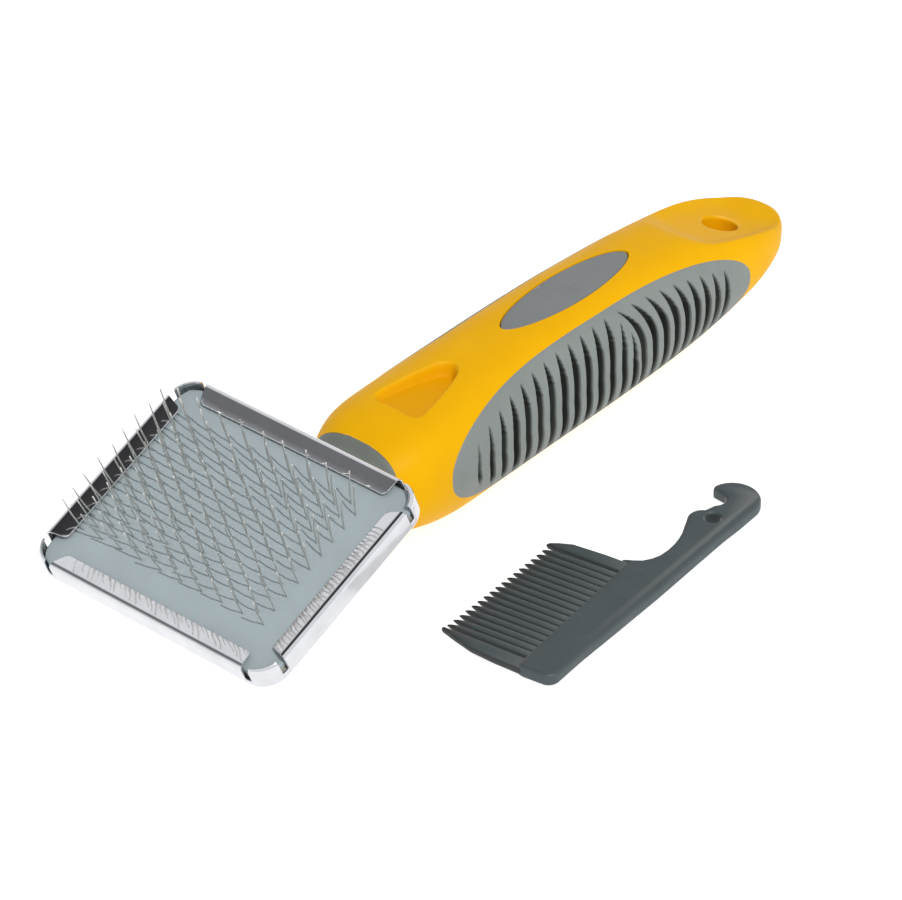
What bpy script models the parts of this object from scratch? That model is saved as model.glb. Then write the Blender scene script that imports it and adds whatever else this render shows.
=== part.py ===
"""Slicker brush (a wire carding brush for animal hair) with its loose cleaning comb.

The brush lies on the flat belly of its handle with the pins up; the comb lies beside it.
X runs from the head to the tail of the handle, Y to the brush's left, Z up from the table.
The head's parts are made in the head's own frame: x towards the handle, y left, z out of the pad.
"""

import math

import bmesh
import bpy
from mathutils import Matrix, Vector

MM = 0.001
GAP = 0.3 * MM

# Placement of the whole set on the table.
ORIGIN_SHIFT = Vector((-77.61 * MM, 15.19 * MM, 0.0))

# Head: a pressed sheet-metal tray, tilted so that its front edge hangs lower than its rear edge.
HEAD_TILT = math.radians(23.25)
HEAD_CENTRE = Vector((1.9 * MM, 0.0, 20.9 * MM))
TRAY_LENGTH = 52.4 * MM
TRAY_WIDTH = 66.0 * MM
SHEET = 0.5 * MM
BEND_RADIUS = 1.6 * MM
RIM_RADIUS = 1.1 * MM
WALL_TOP = 5.3 * MM
FLANGE_SLOPE = math.radians(19.0)
FLANGE_REACH = 3.4 * MM
CORNER_RADIUS = 6.0 * MM
CORNER_NOTCH = math.radians(12.0)
NOTCH_FLANK = math.radians(4.0)
LIP_STEPS = 5
FLANGE_END_STEP = 0.3 * MM
LIP_TOP = 6.4 * MM
LOW_WALL_TOP = 2.6 * MM
FLANGE_CUT_BACK = 0.8

# Cushion: a soft underlay and a rubber face that carries the pins.
UNDERLAY_LOW = 0.8 * MM
UNDERLAY_HIGH = 2.6 * MM
FACE_LOW = 2.9 * MM
FACE_HIGH = 4.2 * MM
CUSHION_INSET = 1.6 * MM
CUSHION_CORNER = 5.0 * MM

# Pins: staggered rows of cranked wires, each row on one rail of joined staple crowns.
PIN_ROWS = 18
PIN_PITCH = 5.56 * MM
PINS_IN_LONG_ROW = 10
FIELD_FRONT = -14.8 * MM
FIELD_REAR = 17.8 * MM
FIELD_MIDDLE_Y = 2.45 * MM
WIRE = 0.45 * MM
RAIL_LOW = 3.0 * MM
RAIL_HIGH = 3.6 * MM
PIN_KNEE = 9.2 * MM
PIN_TIP = 14.4 * MM
PIN_CRANK = 2.0 * MM
PIN_SPLAY_RADIUS = 150.0 * MM

# Rivets that hold the tray on the neck.
RIVET_SPREAD_X = 7.0 * MM
RIVET_SPREAD_Y = 9.0 * MM
RIVET_SHANK = 1.4 * MM
RIVET_HEAD = 2.6 * MM
RIVET_HEAD_HEIGHT = 0.25 * MM
RIVET_DEPTH = 3.0 * MM

# Neck: a spade plate under the tray, a collar, and a tang inside the handle.
PLATE_REAR = 22.0 * MM
PLATE_FRONT = -12.0 * MM
PLATE_WIDTH = 32.0 * MM
PLATE_THICKNESS = 4.5 * MM
COLLAR_STATIONS = (
    (8.0, 9.0, 22.0, 16.0),
    (16.0, 11.5, 26.0, 11.5),
    (26.0, 12.0, 28.4, 7.4),
    (34.0, 11.0, 25.6, 5.8),
    (38.5, 9.9, 23.0, 6.9),
    (46.0, 9.8, 22.6, 7.1),
)
COLLAR_REAR = 46.0
TANG_END = 118.0 * MM
TANG_WIDTH = 10.0 * MM
TANG_HEIGHT = 7.0 * MM
TANG_MIDDLE_Z = 14.6 * MM

# Handle: stations of (x, half width, top, bottom) in millimetres, joined by smooth curves.
HANDLE_STATIONS = (
    (40.8, 11.4, 24.2, 5.4),
    (41.8, 13.1, 25.8, 4.0),
    (43.8, 14.5, 27.1, 3.0),
    (47.5, 15.5, 28.2, 2.0),
    (53.0, 16.0, 29.0, 0.7),
    (60.0, 16.0, 29.4, 0.0),
    (70.0, 15.7, 30.1, 0.0),
    (80.0, 15.3, 30.8, 0.0),
    (95.0, 14.9, 31.5, 0.0),
    (110.0, 14.5, 31.8, 0.0),
    (118.0, 14.3, 31.6, 0.2),
    (130.0, 14.1, 31.1, 0.9),
    (140.0, 13.9, 30.3, 1.9),
    (150.0, 13.8, 28.9, 4.0),
    (160.0, 13.4, 27.2, 6.8),
    (168.0, 11.7, 25.0, 10.1),
    (174.0, 8.3, 23.2, 13.1),
    (177.5, 5.0, 21.0, 14.5),
    (179.2, 2.5, 18.9, 15.5),
    (179.8, 1.0, 17.7, 16.3),
)
UPPER_FULLNESS = 2.7
LOWER_FULLNESS = 2.05
BELLY_CUT = 1.045
HANDLE_SIDES = 32
HANDLE_RINGS = 34

# Scoop that thins the tail round the hanging hole.
SCOOP_START = 141.0
SCOOP_END = 180.0
SCOOP_TOP = 30.4
SCOOP_LOW = 21.0
SCOOP_POWER = 1.4
HOLE_X = 161.6 * MM
HOLE_RADIUS = 4.0 * MM

# Thumb pocket: a shield-shaped recess, wide towards the head.
POCKET_FRONT = 50.6 * MM
POCKET_REAR = 70.8 * MM
POCKET_HALF_WIDTH = 6.9 * MM
POCKET_FLOOR = 27.0 * MM

# Oval badge inlay on top of the handle.
BADGE_X = 107.2 * MM
BADGE_HALF_LENGTH = 20.7 * MM
BADGE_HALF_WIDTH = 5.4 * MM
BADGE_FLOOR = 29.4 * MM
BADGE_POWER = 1.9

# Side grips: lens-shaped rubber pads let into the sides.
GRIP_X = 103.8 * MM
GRIP_HALF_LENGTH = 52.2 * MM
GRIP_Z = 16.4 * MM
GRIP_HALF_HEIGHT = 13.3 * MM
GRIP_POWER = 2.4
GRIP_FLOOR_Y = 7.0 * MM

# Comb, in its own frame: p along the back towards the hook, q towards the tooth tips.
COMB_PLACE = Vector((29.2 * MM, -55.2 * MM, 0.0))
COMB_TURN = math.radians(7.4)
COMB_THICKNESS = 3.0 * MM
TOOTH_THINNING = 0.052
COMB_TEETH = 17
TOOTH_PITCH = 2.06
TOOTH_ROOT = 0.8
TOOTH_TIP = 0.3
FIRST_TOOTH = 2.0
TOOTH_LENGTH_LOW = 20.4
TOOTH_LENGTH_HIGH = 18.4
COMB_HOLE = (63.5, -6.0)
COMB_HOLE_RADIUS = 2.2 * MM

COLOURS = {
    "chrome": ((0.72, 0.73, 0.75), 0.12, 1.0),
    "pin_steel": ((0.62, 0.60, 0.56), 0.30, 1.0),
    "cushion_rubber": ((0.36, 0.41, 0.42), 0.55, 0.0),
    "underlay": ((0.60, 0.58, 0.52), 0.95, 0.0),
    "yellow_plastic": ((0.90, 0.45, 0.01), 0.42, 0.0),
    "grip_rubber": ((0.21, 0.22, 0.23), 0.60, 0.0),
    "comb_plastic": ((0.065, 0.080, 0.090), 0.45, 0.0),
}


def clear_scene():
    for obj in list(bpy.data.objects):
        bpy.data.objects.remove(obj, do_unlink=True)


def material(name):
    found = bpy.data.materials.get(name)
    if found:
        return found
    colour, roughness, metallic = COLOURS[name]
    made = bpy.data.materials.new(name)
    made.use_nodes = True
    shader = made.node_tree.nodes["Principled BSDF"]
    shader.inputs["Base Color"].default_value = (*colour, 1.0)
    shader.inputs["Roughness"].default_value = roughness
    shader.inputs["Metallic"].default_value = metallic
    return made


def add_object(name, bm, material_name, parent=None, place=None):
    """Turn a bmesh into an object with smooth shading and sharp edges kept."""
    bmesh.ops.recalc_face_normals(bm, faces=bm.faces)
    mesh = bpy.data.meshes.new(name)
    bm.to_mesh(mesh)
    bm.free()
    mesh.shade_smooth()
    mesh.set_sharp_from_angle(angle=math.radians(35))
    mesh.materials.append(material(material_name))
    obj = bpy.data.objects.new(name, mesh)
    bpy.context.scene.collection.objects.link(obj)
    obj.parent = parent
    if place is not None:
        obj.matrix_local = place
    return obj


def add_frame(name, place):
    """An empty that carries the pieces made in its own frame."""
    empty = bpy.data.objects.new(name, None)
    bpy.context.scene.collection.objects.link(empty)
    empty.matrix_world = place
    return empty


def prism(outline, low, high):
    """A straight solid over a flat outline of (x, y) points, from z low to z high."""
    bm = bmesh.new()
    base = bm.faces.new([bm.verts.new((x, y, low)) for x, y in outline])
    lifted = bmesh.ops.extrude_face_region(bm, geom=[base])["geom"]
    top = [item for item in lifted if isinstance(item, bmesh.types.BMVert)]
    bmesh.ops.translate(bm, verts=top, vec=(0, 0, high - low))
    return bm


def skin(rings):
    """A closed skin over rings that hold the same number of points, with a face at each end."""
    bm = bmesh.new()
    rows = [[bm.verts.new(point) for point in ring] for ring in rings]
    count = len(rows[0])
    for near, far in zip(rows, rows[1:]):
        for i in range(count):
            j = (i + 1) % count
            bm.faces.new((near[i], near[j], far[j], far[i]))
    bm.faces.new(rows[0])
    bm.faces.new(rows[-1])
    return bm


def arc(centre, radius, start, end, steps):
    return [
        (
            centre[0] + radius * math.cos(start + (end - start) * k / steps),
            centre[1] + radius * math.sin(start + (end - start) * k / steps),
        )
        for k in range(steps + 1)
    ]


def rounded_rectangle(half_x, half_y, radius, steps=5):
    corners = (
        (half_x - radius, half_y - radius, 0),
        (radius - half_x, half_y - radius, 90),
        (radius - half_x, radius - half_y, 180),
        (half_x - radius, radius - half_y, 270),
    )
    outline = []
    for x, y, angle in corners:
        start = math.radians(angle)
        outline += arc((x, y), radius, start, start + math.pi / 2, steps)
    return outline


def super_ellipse(half_x, half_y, power, steps):
    """Points of a full or slim oval, counted round from +x."""
    points = []
    for k in range(steps):
        c = math.cos(2 * math.pi * k / steps)
        s = math.sin(2 * math.pi * k / steps)
        x = math.copysign(abs(c) ** (2 / power), c) * half_x
        y = math.copysign(abs(s) ** (2 / power), s) * half_y
        points.append((x, y))
    return points


def smooth_stations(stations, x):
    """Values between stations (x, value, value, ...) on monotone cubic curves."""
    if x <= stations[0][0]:
        return stations[0][1:]
    if x >= stations[-1][0]:
        return stations[-1][1:]
    i = max(k for k in range(len(stations) - 1) if stations[k][0] <= x)
    width = stations[i + 1][0] - stations[i][0]
    t = (x - stations[i][0]) / width
    values = []
    for column in range(1, len(stations[0])):
        start = station_slope(stations, i, column) * width
        end = station_slope(stations, i + 1, column) * width
        low, high = stations[i][column], stations[i + 1][column]
        values.append(
            low * (1 + 2 * t) * (1 - t) ** 2
            + start * t * (1 - t) ** 2
            + high * t * t * (3 - 2 * t)
            + end * t * t * (t - 1)
        )
    return tuple(values)


def station_slope(stations, i, column):
    """Harmonic mean of the neighbouring slopes, so that a curve never overshoots its stations."""
    slopes = []
    for j in (i - 1, i):
        if 0 <= j < len(stations) - 1:
            rise = stations[j + 1][column] - stations[j][column]
            slopes.append(rise / (stations[j + 1][0] - stations[j][0]))
    if len(slopes) == 1:
        return slopes[0]
    if slopes[0] * slopes[1] <= 0:
        return 0.0
    return 2 * slopes[0] * slopes[1] / (slopes[0] + slopes[1])


def cut(obj, cutter, operation="DIFFERENCE"):
    """Keep a live Boolean on obj, and hide the object that it works with."""
    cutter.hide_render = True
    cutter.display_type = "WIRE"
    modifier = obj.modifiers.new(cutter.name, "BOOLEAN")
    modifier.operation = operation
    modifier.solver = "EXACT"
    modifier.object = cutter


# ---------------------------------------------------------------- head


def sheet_paths(kind):
    """Middle line of the bent sheet as (distance from the outer face, height): low wall, then the rest."""
    half = SHEET / 2
    low = [(2.6 * BEND_RADIUS, half)]
    low += arc((BEND_RADIUS, BEND_RADIUS), BEND_RADIUS - half, -math.pi / 2, -math.pi, 3)
    low.append((half, LOW_WALL_TOP))
    if kind == "low":
        return low, []
    if kind == "lip":
        return low, [(half, LIP_TOP)]
    high = arc((RIM_RADIUS, WALL_TOP), RIM_RADIUS - half, math.pi, math.pi / 2 - FLANGE_SLOPE, 5)
    end_x, end_z = high[-1]
    inner_edge = (
        end_x + FLANGE_REACH * math.cos(FLANGE_SLOPE),
        end_z - FLANGE_REACH * math.sin(FLANGE_SLOPE),
    )
    return low, high + [inner_edge]


def sheet_faces(path):
    """The path moved to the inner and to the outer face of the sheet."""
    inner, outer = [], []
    for i, (x, z) in enumerate(path):
        before, after = path[max(i - 1, 0)], path[min(i + 1, len(path) - 1)]
        along = Vector((after[0] - before[0], after[1] - before[1])).normalized()
        offset = Vector((-along.y, along.x)) * (SHEET / 2)
        inner.append((x + offset.x, z + offset.y))
        outer.append((x - offset.x, z - offset.y))
    return inner, outer


def tray_stations():
    """Stations round the rim: (corner point, outward angle, kind of wall, cut-back direction)."""
    half_x, half_y = TRAY_LENGTH / 2 - CORNER_RADIUS, TRAY_WIDTH / 2 - CORNER_RADIUS
    stations = []
    for index, (sx, sy) in enumerate(((1, 1), (-1, 1), (-1, -1), (1, -1))):
        start = math.radians(90 * index)
        end = start + math.pi / 2
        centre = Vector((sx * half_x, sy * half_y))
        before = Vector((math.sin(start), -math.cos(start)))
        after = Vector((-math.cos(start), -math.sin(start)))
        none = Vector((0.0, 0.0))
        lip_start, lip_end = start + CORNER_NOTCH, end - CORNER_NOTCH
        stations.append((centre + before * FLANGE_END_STEP, start, "flange", before))
        stations.append((centre, start, "low", none))
        stations.append((centre, lip_start - NOTCH_FLANK, "low", none))
        for k in range(LIP_STEPS + 1):
            angle = lip_start + (lip_end - lip_start) * k / LIP_STEPS
            stations.append((centre, angle, "lip", none))
        stations.append((centre, lip_end + NOTCH_FLANK, "low", none))
        stations.append((centre, end, "low", none))
        stations.append((centre + after * FLANGE_END_STEP, end, "flange", after))
    return stations


def station_points(bm, corner, angle, kind, cut_back):
    """Vertices of one station: inner low, inner high, outer low and outer high, each from the floor up."""
    outward = Vector((math.cos(angle), math.sin(angle)))
    low, high = sheet_paths(kind)
    inner, outer = sheet_faces(low + high)
    rows = []
    for points in (inner, outer):
        row = []
        for d, z in points:
            point = corner + outward * (CORNER_RADIUS - d)
            if z > LOW_WALL_TOP - 0.1 * MM:
                point += cut_back * d * FLANGE_CUT_BACK
            row.append(bm.verts.new((point.x, point.y, z)))
        rows += [row[: len(low)], row[len(low) :]]
    return rows


def make_tray(head):
    """One bent sheet: floor, four walls with flanges folded in, and four upright corner lips."""
    bm = bmesh.new()
    stations = tray_stations()
    rows = [station_points(bm, *station) for station in stations]
    for k, (inner, inner_high, outer, outer_high) in enumerate(rows):
        next_inner, next_inner_high, next_outer, next_outer_high = rows[(k + 1) % len(rows)]
        same = len(inner_high) == len(next_inner_high)
        if same:
            strips = ((inner + inner_high, next_inner + next_inner_high),)
            strips += ((outer + outer_high, next_outer + next_outer_high),)
        else:
            strips = ((inner, next_inner), (outer, next_outer))
            raised = rows[k] if inner_high else rows[(k + 1) % len(rows)]
            bm.faces.new([raised[0][-1], *raised[1], *raised[3][::-1], raised[2][-1]])
        for near, far in strips:
            for i in range(len(near) - 1):
                bm.faces.new((near[i], near[i + 1], far[i + 1], far[i]))
        (near_in, far_in), (near_out, far_out) = strips
        bm.faces.new((near_in[-1], near_out[-1], far_out[-1], far_in[-1]))
    bm.faces.new([row[0][0] for row in rows])
    bm.faces.new([row[2][0] for row in rows])
    tray = add_object("tray", bm, "chrome", head)
    for index, (x, y) in enumerate(rivet_places()):
        bore = round_bar(x, y, -MM, SHEET + MM, RIVET_SHANK + GAP)
        cut(tray, add_object(f"tray_hole_{index + 1}", bore, "chrome", head))
    return tray


def round_bar(x, y, low, high, radius, sides=16):
    outline = arc((x, y), radius, 0, 2 * math.pi, sides)[:-1]
    return prism(outline, low, high)


def rivet_places():
    middle = (PLATE_FRONT + PLATE_REAR) / 2 - 2 * MM
    return [
        (middle + sx * RIVET_SPREAD_X, sy * RIVET_SPREAD_Y)
        for sx in (-1, 1)
        for sy in (-1, 1)
    ]


def make_rivets(head):
    """Low-headed rivets, seen from inside the tray, with shanks down into the neck plate."""
    for index, (x, y) in enumerate(rivet_places()):
        profile = (
            (RIVET_SHANK, -RIVET_DEPTH),
            (RIVET_SHANK, SHEET + 0.1 * MM),
            (RIVET_HEAD, SHEET + 0.1 * MM),
            (RIVET_HEAD * 0.8, SHEET + RIVET_HEAD_HEIGHT),
        )
        rings = [
            [(px, py, z) for px, py in arc((x, y), radius, 0, 2 * math.pi, 16)[:-1]]
            for radius, z in profile
        ]
        add_object(f"rivet_{index + 1}", skin(rings), "pin_steel", head)


def cushion_outline(extra=0.0):
    inset = CUSHION_INSET + extra
    return rounded_rectangle(TRAY_LENGTH / 2 - inset, TRAY_WIDTH / 2 - inset, CUSHION_CORNER)


def row_x(row):
    return FIELD_FRONT + (FIELD_REAR - FIELD_FRONT) * row / (PIN_ROWS - 1)


def row_pins(row):
    """Y places of the pins in a row: every second row has one pin fewer and sits half a pitch in."""
    count = PINS_IN_LONG_ROW - row % 2
    first = FIELD_MIDDLE_Y - PIN_PITCH * (count - 1) / 2
    return [first + PIN_PITCH * k for k in range(count)]


def make_cushion(head):
    """Soft underlay, and a rubber face with one slot for each row of pins."""
    underlay = prism(cushion_outline(), UNDERLAY_LOW, UNDERLAY_HIGH)
    add_object("pad_underlay", underlay, "underlay", head)
    face = add_object("pad_face", prism(cushion_outline(), FACE_LOW, FACE_HIGH), "cushion_rubber", head)
    slots = bmesh.new()
    reach = WIRE / 2 + GAP
    for row in range(PIN_ROWS):
        x, pins = row_x(row), row_pins(row)
        low = Vector((x - reach, pins[0] - reach, FACE_LOW - MM))
        high = Vector((x + reach, pins[-1] + reach, FACE_HIGH + MM))
        place = Matrix.Translation((low + high) / 2) @ Matrix.Diagonal((*(high - low), 1.0))
        bmesh.ops.create_cube(slots, size=1.0, matrix=place)
    cut(face, add_object("pin_slots", slots, "cushion_rubber", head))


def pin_corners(x, y, z):
    """The four corners of a wire at height z, cranked above the knee and splayed from the middle."""
    above_face = max(0.0, z - FACE_HIGH)
    lean_x = x / PIN_SPLAY_RADIUS * above_face
    lean_y = (y - FIELD_MIDDLE_Y) / PIN_SPLAY_RADIUS * above_face
    crank = PIN_CRANK * max(0.0, z - PIN_KNEE) / (PIN_TIP - PIN_KNEE)
    half = WIRE / 2
    centre = Vector((x + lean_x + crank, y + lean_y, z))
    signs = ((-1, -1), (1, -1), (1, 1), (-1, 1))
    return [centre + Vector((sx * half, sy * half, 0)) for sx, sy in signs]


def make_pin_row(head, row):
    """A rail along the row with a cranked wire standing on each place."""
    bm = bmesh.new()
    x, half = row_x(row), WIRE / 2
    edges = [y + side * half for y in row_pins(row) for side in (-1, 1)]
    lower = [[bm.verts.new((x + sx * half, y, RAIL_LOW)) for sx in (-1, 1)] for y in edges]
    upper = [[bm.verts.new((x + sx * half, y, RAIL_HIGH)) for sx in (-1, 1)] for y in edges]
    for k in range(len(edges) - 1):
        bm.faces.new((lower[k][0], lower[k + 1][0], lower[k + 1][1], lower[k][1]))
        bm.faces.new((lower[k][0], upper[k][0], upper[k + 1][0], lower[k + 1][0]))
        bm.faces.new((lower[k][1], lower[k + 1][1], upper[k + 1][1], upper[k][1]))
        if k % 2:
            bm.faces.new((upper[k][0], upper[k][1], upper[k + 1][1], upper[k + 1][0]))
    for k in (0, -1):
        bm.faces.new((lower[k][0], lower[k][1], upper[k][1], upper[k][0]))
    for k, y in enumerate(row_pins(row)):
        foot = [upper[2 * k][0], upper[2 * k][1], upper[2 * k + 1][1], upper[2 * k + 1][0]]
        for z in (FACE_HIGH, PIN_KNEE, PIN_TIP):
            ring = [bm.verts.new(corner) for corner in pin_corners(x, y, z)]
            for i in range(4):
                j = (i + 1) % 4
                bm.faces.new((foot[i], foot[j], ring[j], ring[i]))
            foot = ring
        bm.faces.new(foot)
    add_object(f"pin_row_{row + 1:02d}", bm, "pin_steel", head)


# ---------------------------------------------------------------- handle


def scoop_height(x):
    """Top of the tail in millimetres where it is scooped out round the hanging hole."""
    if x <= SCOOP_START:
        return SCOOP_TOP + (SCOOP_START - x)
    left = max(0.0, SCOOP_END - x) / (SCOOP_END - SCOOP_START)
    return SCOOP_LOW + (SCOOP_TOP - SCOOP_LOW) * left**SCOOP_POWER


def handle_ring(x):
    """Cross-section of the handle at x millimetres: full above, rounder below, with a flat belly."""
    half_width, top, bottom = smooth_stations(HANDLE_STATIONS, x)
    middle = (top + bottom) / 2
    ring = []
    for k in range(HANDLE_SIDES):
        angle = 2 * math.pi * (k + 0.5) / HANDLE_SIDES
        c, s = math.cos(angle), math.sin(angle)
        power = UPPER_FULLNESS if s > 0 else LOWER_FULLNESS
        y = math.copysign(abs(c) ** (2 / power), c) * half_width
        rise = abs(s) ** (2 / power)
        if s > 0:
            z = min(middle + rise * (top - middle), scoop_height(x))
        else:
            z = max(middle - rise * (middle - bottom) * BELLY_CUT, bottom)
        ring.append(Vector((x, y, z)) * MM)
    return ring


def handle_skin():
    first, last = HANDLE_STATIONS[0][0], HANDLE_STATIONS[-1][0]
    rings = []
    for k in range(HANDLE_RINGS + 1):
        u = k / HANDLE_RINGS
        eased = (1 - math.cos(math.pi * u)) / 2
        rings.append(handle_ring(first + (last - first) * (0.45 * u + 0.55 * eased)))
    return skin(rings)


def turned(bm, matrix):
    bmesh.ops.transform(bm, matrix=matrix, verts=bm.verts)
    return bm


def side_prism(outline, near, far):
    """A solid over an outline of (x, z) points, running from y near to y far."""
    bm = prism(outline, near, far)
    return turned(bm, Matrix(((1, 0, 0, 0), (0, 0, 1, 0), (0, 1, 0, 0), (0, 0, 0, 1))))


def grip_outline(extra):
    points = super_ellipse(GRIP_HALF_LENGTH + extra, GRIP_HALF_HEIGHT + extra, GRIP_POWER, 40)
    return [(GRIP_X + x, GRIP_Z + z) for x, z in points]


def badge_outline(extra):
    points = super_ellipse(BADGE_HALF_LENGTH + extra, BADGE_HALF_WIDTH + extra, BADGE_POWER, 32)
    return [(BADGE_X + x, y) for x, y in points]


def pocket_outline():
    """Shield with rounded corners: wide end towards the head, narrow end towards the tail."""
    front, rear, half = POCKET_FRONT, POCKET_REAR, POCKET_HALF_WIDTH
    front_corner, rear_corner = 1.8 * MM, 2.4 * MM
    outline = arc((front + front_corner, half - front_corner), front_corner, math.radians(75), math.pi, 4)
    outline += arc((front + front_corner, front_corner - half), front_corner, math.pi, math.radians(285), 4)
    outline += arc((rear - rear_corner, 0), rear_corner, math.radians(-70), math.radians(70), 6)
    return outline


def bar(low, high):
    bm = bmesh.new()
    low, high = Vector(low), Vector(high)
    place = Matrix.Translation((low + high) / 2) @ Matrix.Diagonal((*(high - low), 1.0))
    bmesh.ops.create_cube(bm, size=1.0, matrix=place)
    return bm


def collar_ring(x, grow):
    half_width, top, bottom = smooth_stations(COLLAR_STATIONS, x)
    middle = (top + bottom) / 2
    half_height = (top - bottom) / 2
    points = super_ellipse(half_width + grow, half_height + grow, 2.2, 24)
    return [Vector((x, y, middle + z)) * MM for y, z in points]


def collar_skin(grow, first, last, steps):
    rings = [collar_ring(first + (last - first) * k / steps, grow) for k in range(steps + 1)]
    return skin(rings)


def make_handle(brush):
    """Yellow body with a bore for the neck, two side recesses, a badge recess, a pocket and a hole."""
    body = add_object("handle_body", handle_skin(), "yellow_plastic", brush)
    far = 30 * MM
    for side, name in ((1, "left"), (-1, "right")):
        recess = side_prism(grip_outline(GAP), side * GRIP_FLOOR_Y, side * far)
        cut(body, add_object(f"grip_recess_{name}", recess, "yellow_plastic", brush))
    recess = prism(badge_outline(GAP), BADGE_FLOOR, 2 * far)
    cut(body, add_object("badge_recess", recess, "yellow_plastic", brush))
    pocket = prism(pocket_outline(), POCKET_FLOOR, 2 * far)
    cut(body, add_object("thumb_pocket", pocket, "yellow_plastic", brush))
    hole = round_bar(HOLE_X, 0, -far, 2 * far, HOLE_RADIUS, 24)
    cut(body, add_object("hanging_hole", hole, "yellow_plastic", brush))
    socket = collar_skin(GAP / MM, HANDLE_STATIONS[0][0] - 3, COLLAR_REAR + GAP / MM, 3)
    cut(body, add_object("collar_socket", socket, "yellow_plastic", brush))
    reach_y, reach_z = TANG_WIDTH / 2 + GAP, TANG_HEIGHT / 2 + GAP
    low = ((COLLAR_REAR - 2) * MM, -reach_y, TANG_MIDDLE_Z - reach_z)
    high = (TANG_END + GAP, reach_y, TANG_MIDDLE_Z + reach_z)
    cut(body, add_object("tang_socket", bar(low, high), "yellow_plastic", brush))


def make_grip(brush, side, name):
    """Rubber pad that fills its recess and carries grooves across the side of the handle."""
    pad = side_prism(grip_outline(0.0), side * (GRIP_FLOOR_Y + GAP), side * 30 * MM)
    grip = add_object(f"grip_{name}", pad, "grip_rubber", brush)
    limit = add_object(f"grip_limit_{name}", handle_skin(), "grip_rubber", brush)
    cut(grip, limit, "INTERSECT")


def make_badge(brush):
    plate = prism(badge_outline(0.0), BADGE_FLOOR + GAP, 60 * MM)
    badge = add_object("badge", plate, "grip_rubber", brush)
    cut(badge, add_object("badge_limit", handle_skin(), "grip_rubber", brush), "INTERSECT")


def make_neck(brush, head):
    """Spade plate under the tray, collar and tang in one moulding."""
    collar = collar_skin(0.0, COLLAR_STATIONS[0][0], COLLAR_REAR, 9)
    neck = add_object("neck", collar, "grip_rubber", brush)
    low = ((COLLAR_REAR - 4) * MM, -TANG_WIDTH / 2, TANG_MIDDLE_Z - TANG_HEIGHT / 2)
    high = (TANG_END, TANG_WIDTH / 2, TANG_MIDDLE_Z + TANG_HEIGHT / 2)
    cut(neck, add_object("neck_tang", bar(low, high), "grip_rubber", brush), "UNION")
    middle = (PLATE_FRONT + PLATE_REAR) / 2
    outline = rounded_rectangle((PLATE_REAR - PLATE_FRONT) / 2, PLATE_WIDTH / 2, 8 * MM)
    plate = prism([(middle + x, y) for x, y in outline], -PLATE_THICKNESS, 2 * MM)
    cut(neck, add_object("neck_plate", plate, "grip_rubber", head), "UNION")
    above = bar((-60 * MM, -60 * MM, -GAP), (TRAY_LENGTH / 2 + 1.0 * MM, 60 * MM, 60 * MM))
    cut(neck, add_object("tray_clearance", above, "grip_rubber", head))
    for index, (x, y) in enumerate(rivet_places()):
        bore = round_bar(x, y, -RIVET_DEPTH - GAP, MM, RIVET_SHANK + GAP)
        cut(neck, add_object(f"neck_hole_{index + 1}", bore, "grip_rubber", head))


# ---------------------------------------------------------------- comb


def comb_back():
    """Outline from the last tooth round the neck, the hook and the back to the first tooth."""
    return (
        [(40.3, 6.0), (40.5, 2.0)]
        + [(42.3, -1.7), (45.8, -3.6), (51.0, -4.0), (55.6, -3.2)]
        + arc((62.2, -4.4), 3.4, math.radians(120), math.radians(25), 4)
        + arc((70.0, -2.3), 2.7, math.radians(215), math.radians(350), 5)
        + [(73.0, -0.6), (73.8, 0.2)]
        + arc((72.4, -5.8), 5.9, math.radians(66), math.radians(-88), 9)
        + [(60.0, -10.9), (35.0, -10.0), (8.0, -8.4)]
        + arc((-0.4, -5.6), 2.6, math.radians(270), math.radians(180), 4)
    )


def comb_teeth():
    """Outer tooth, the row of fine tapering teeth, and the second outer tooth."""
    outline = [(-3.2, -1.0), (-2.6, 11.8), (0.0, 21.0)]
    outline += [(0.7, 20.4), (0.4, 0.0)]
    for k in range(COMB_TEETH):
        middle = FIRST_TOOTH + TOOTH_PITCH * k
        u = k / (COMB_TEETH - 1)
        tip = TOOTH_LENGTH_LOW + (TOOTH_LENGTH_HIGH - TOOTH_LENGTH_LOW) * u
        outline += [(middle - TOOTH_ROOT, 0.0), (middle - TOOTH_TIP, tip)]
        outline += [(middle + TOOTH_TIP, tip), (middle + TOOTH_ROOT, 0.0)]
    outline += [(36.9, 0.0), (36.7, 17.4), (37.5, 18.6), (39.9, 13.6)]
    return outline


def make_comb(table):
    """One flat moulding: teeth, back, finger neck and pulling hook, with a small hanging hole."""
    outline = [(p * MM, q * MM) for p, q in comb_teeth() + comb_back()]
    bm = prism(outline, 0.0, COMB_THICKNESS)
    for vert in bm.verts:
        thinner = max(0.0, vert.co.y) * TOOTH_THINNING
        vert.co.z += thinner if vert.co.z < COMB_THICKNESS / 2 else -thinner
    comb = add_object("comb", bm, "comb_plastic", table)
    x, y = (value * MM for value in COMB_HOLE)
    hole = round_bar(x, y, -MM, COMB_THICKNESS + MM, COMB_HOLE_RADIUS, 20)
    cut(comb, add_object("comb_hole", hole, "comb_plastic", table))


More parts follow.
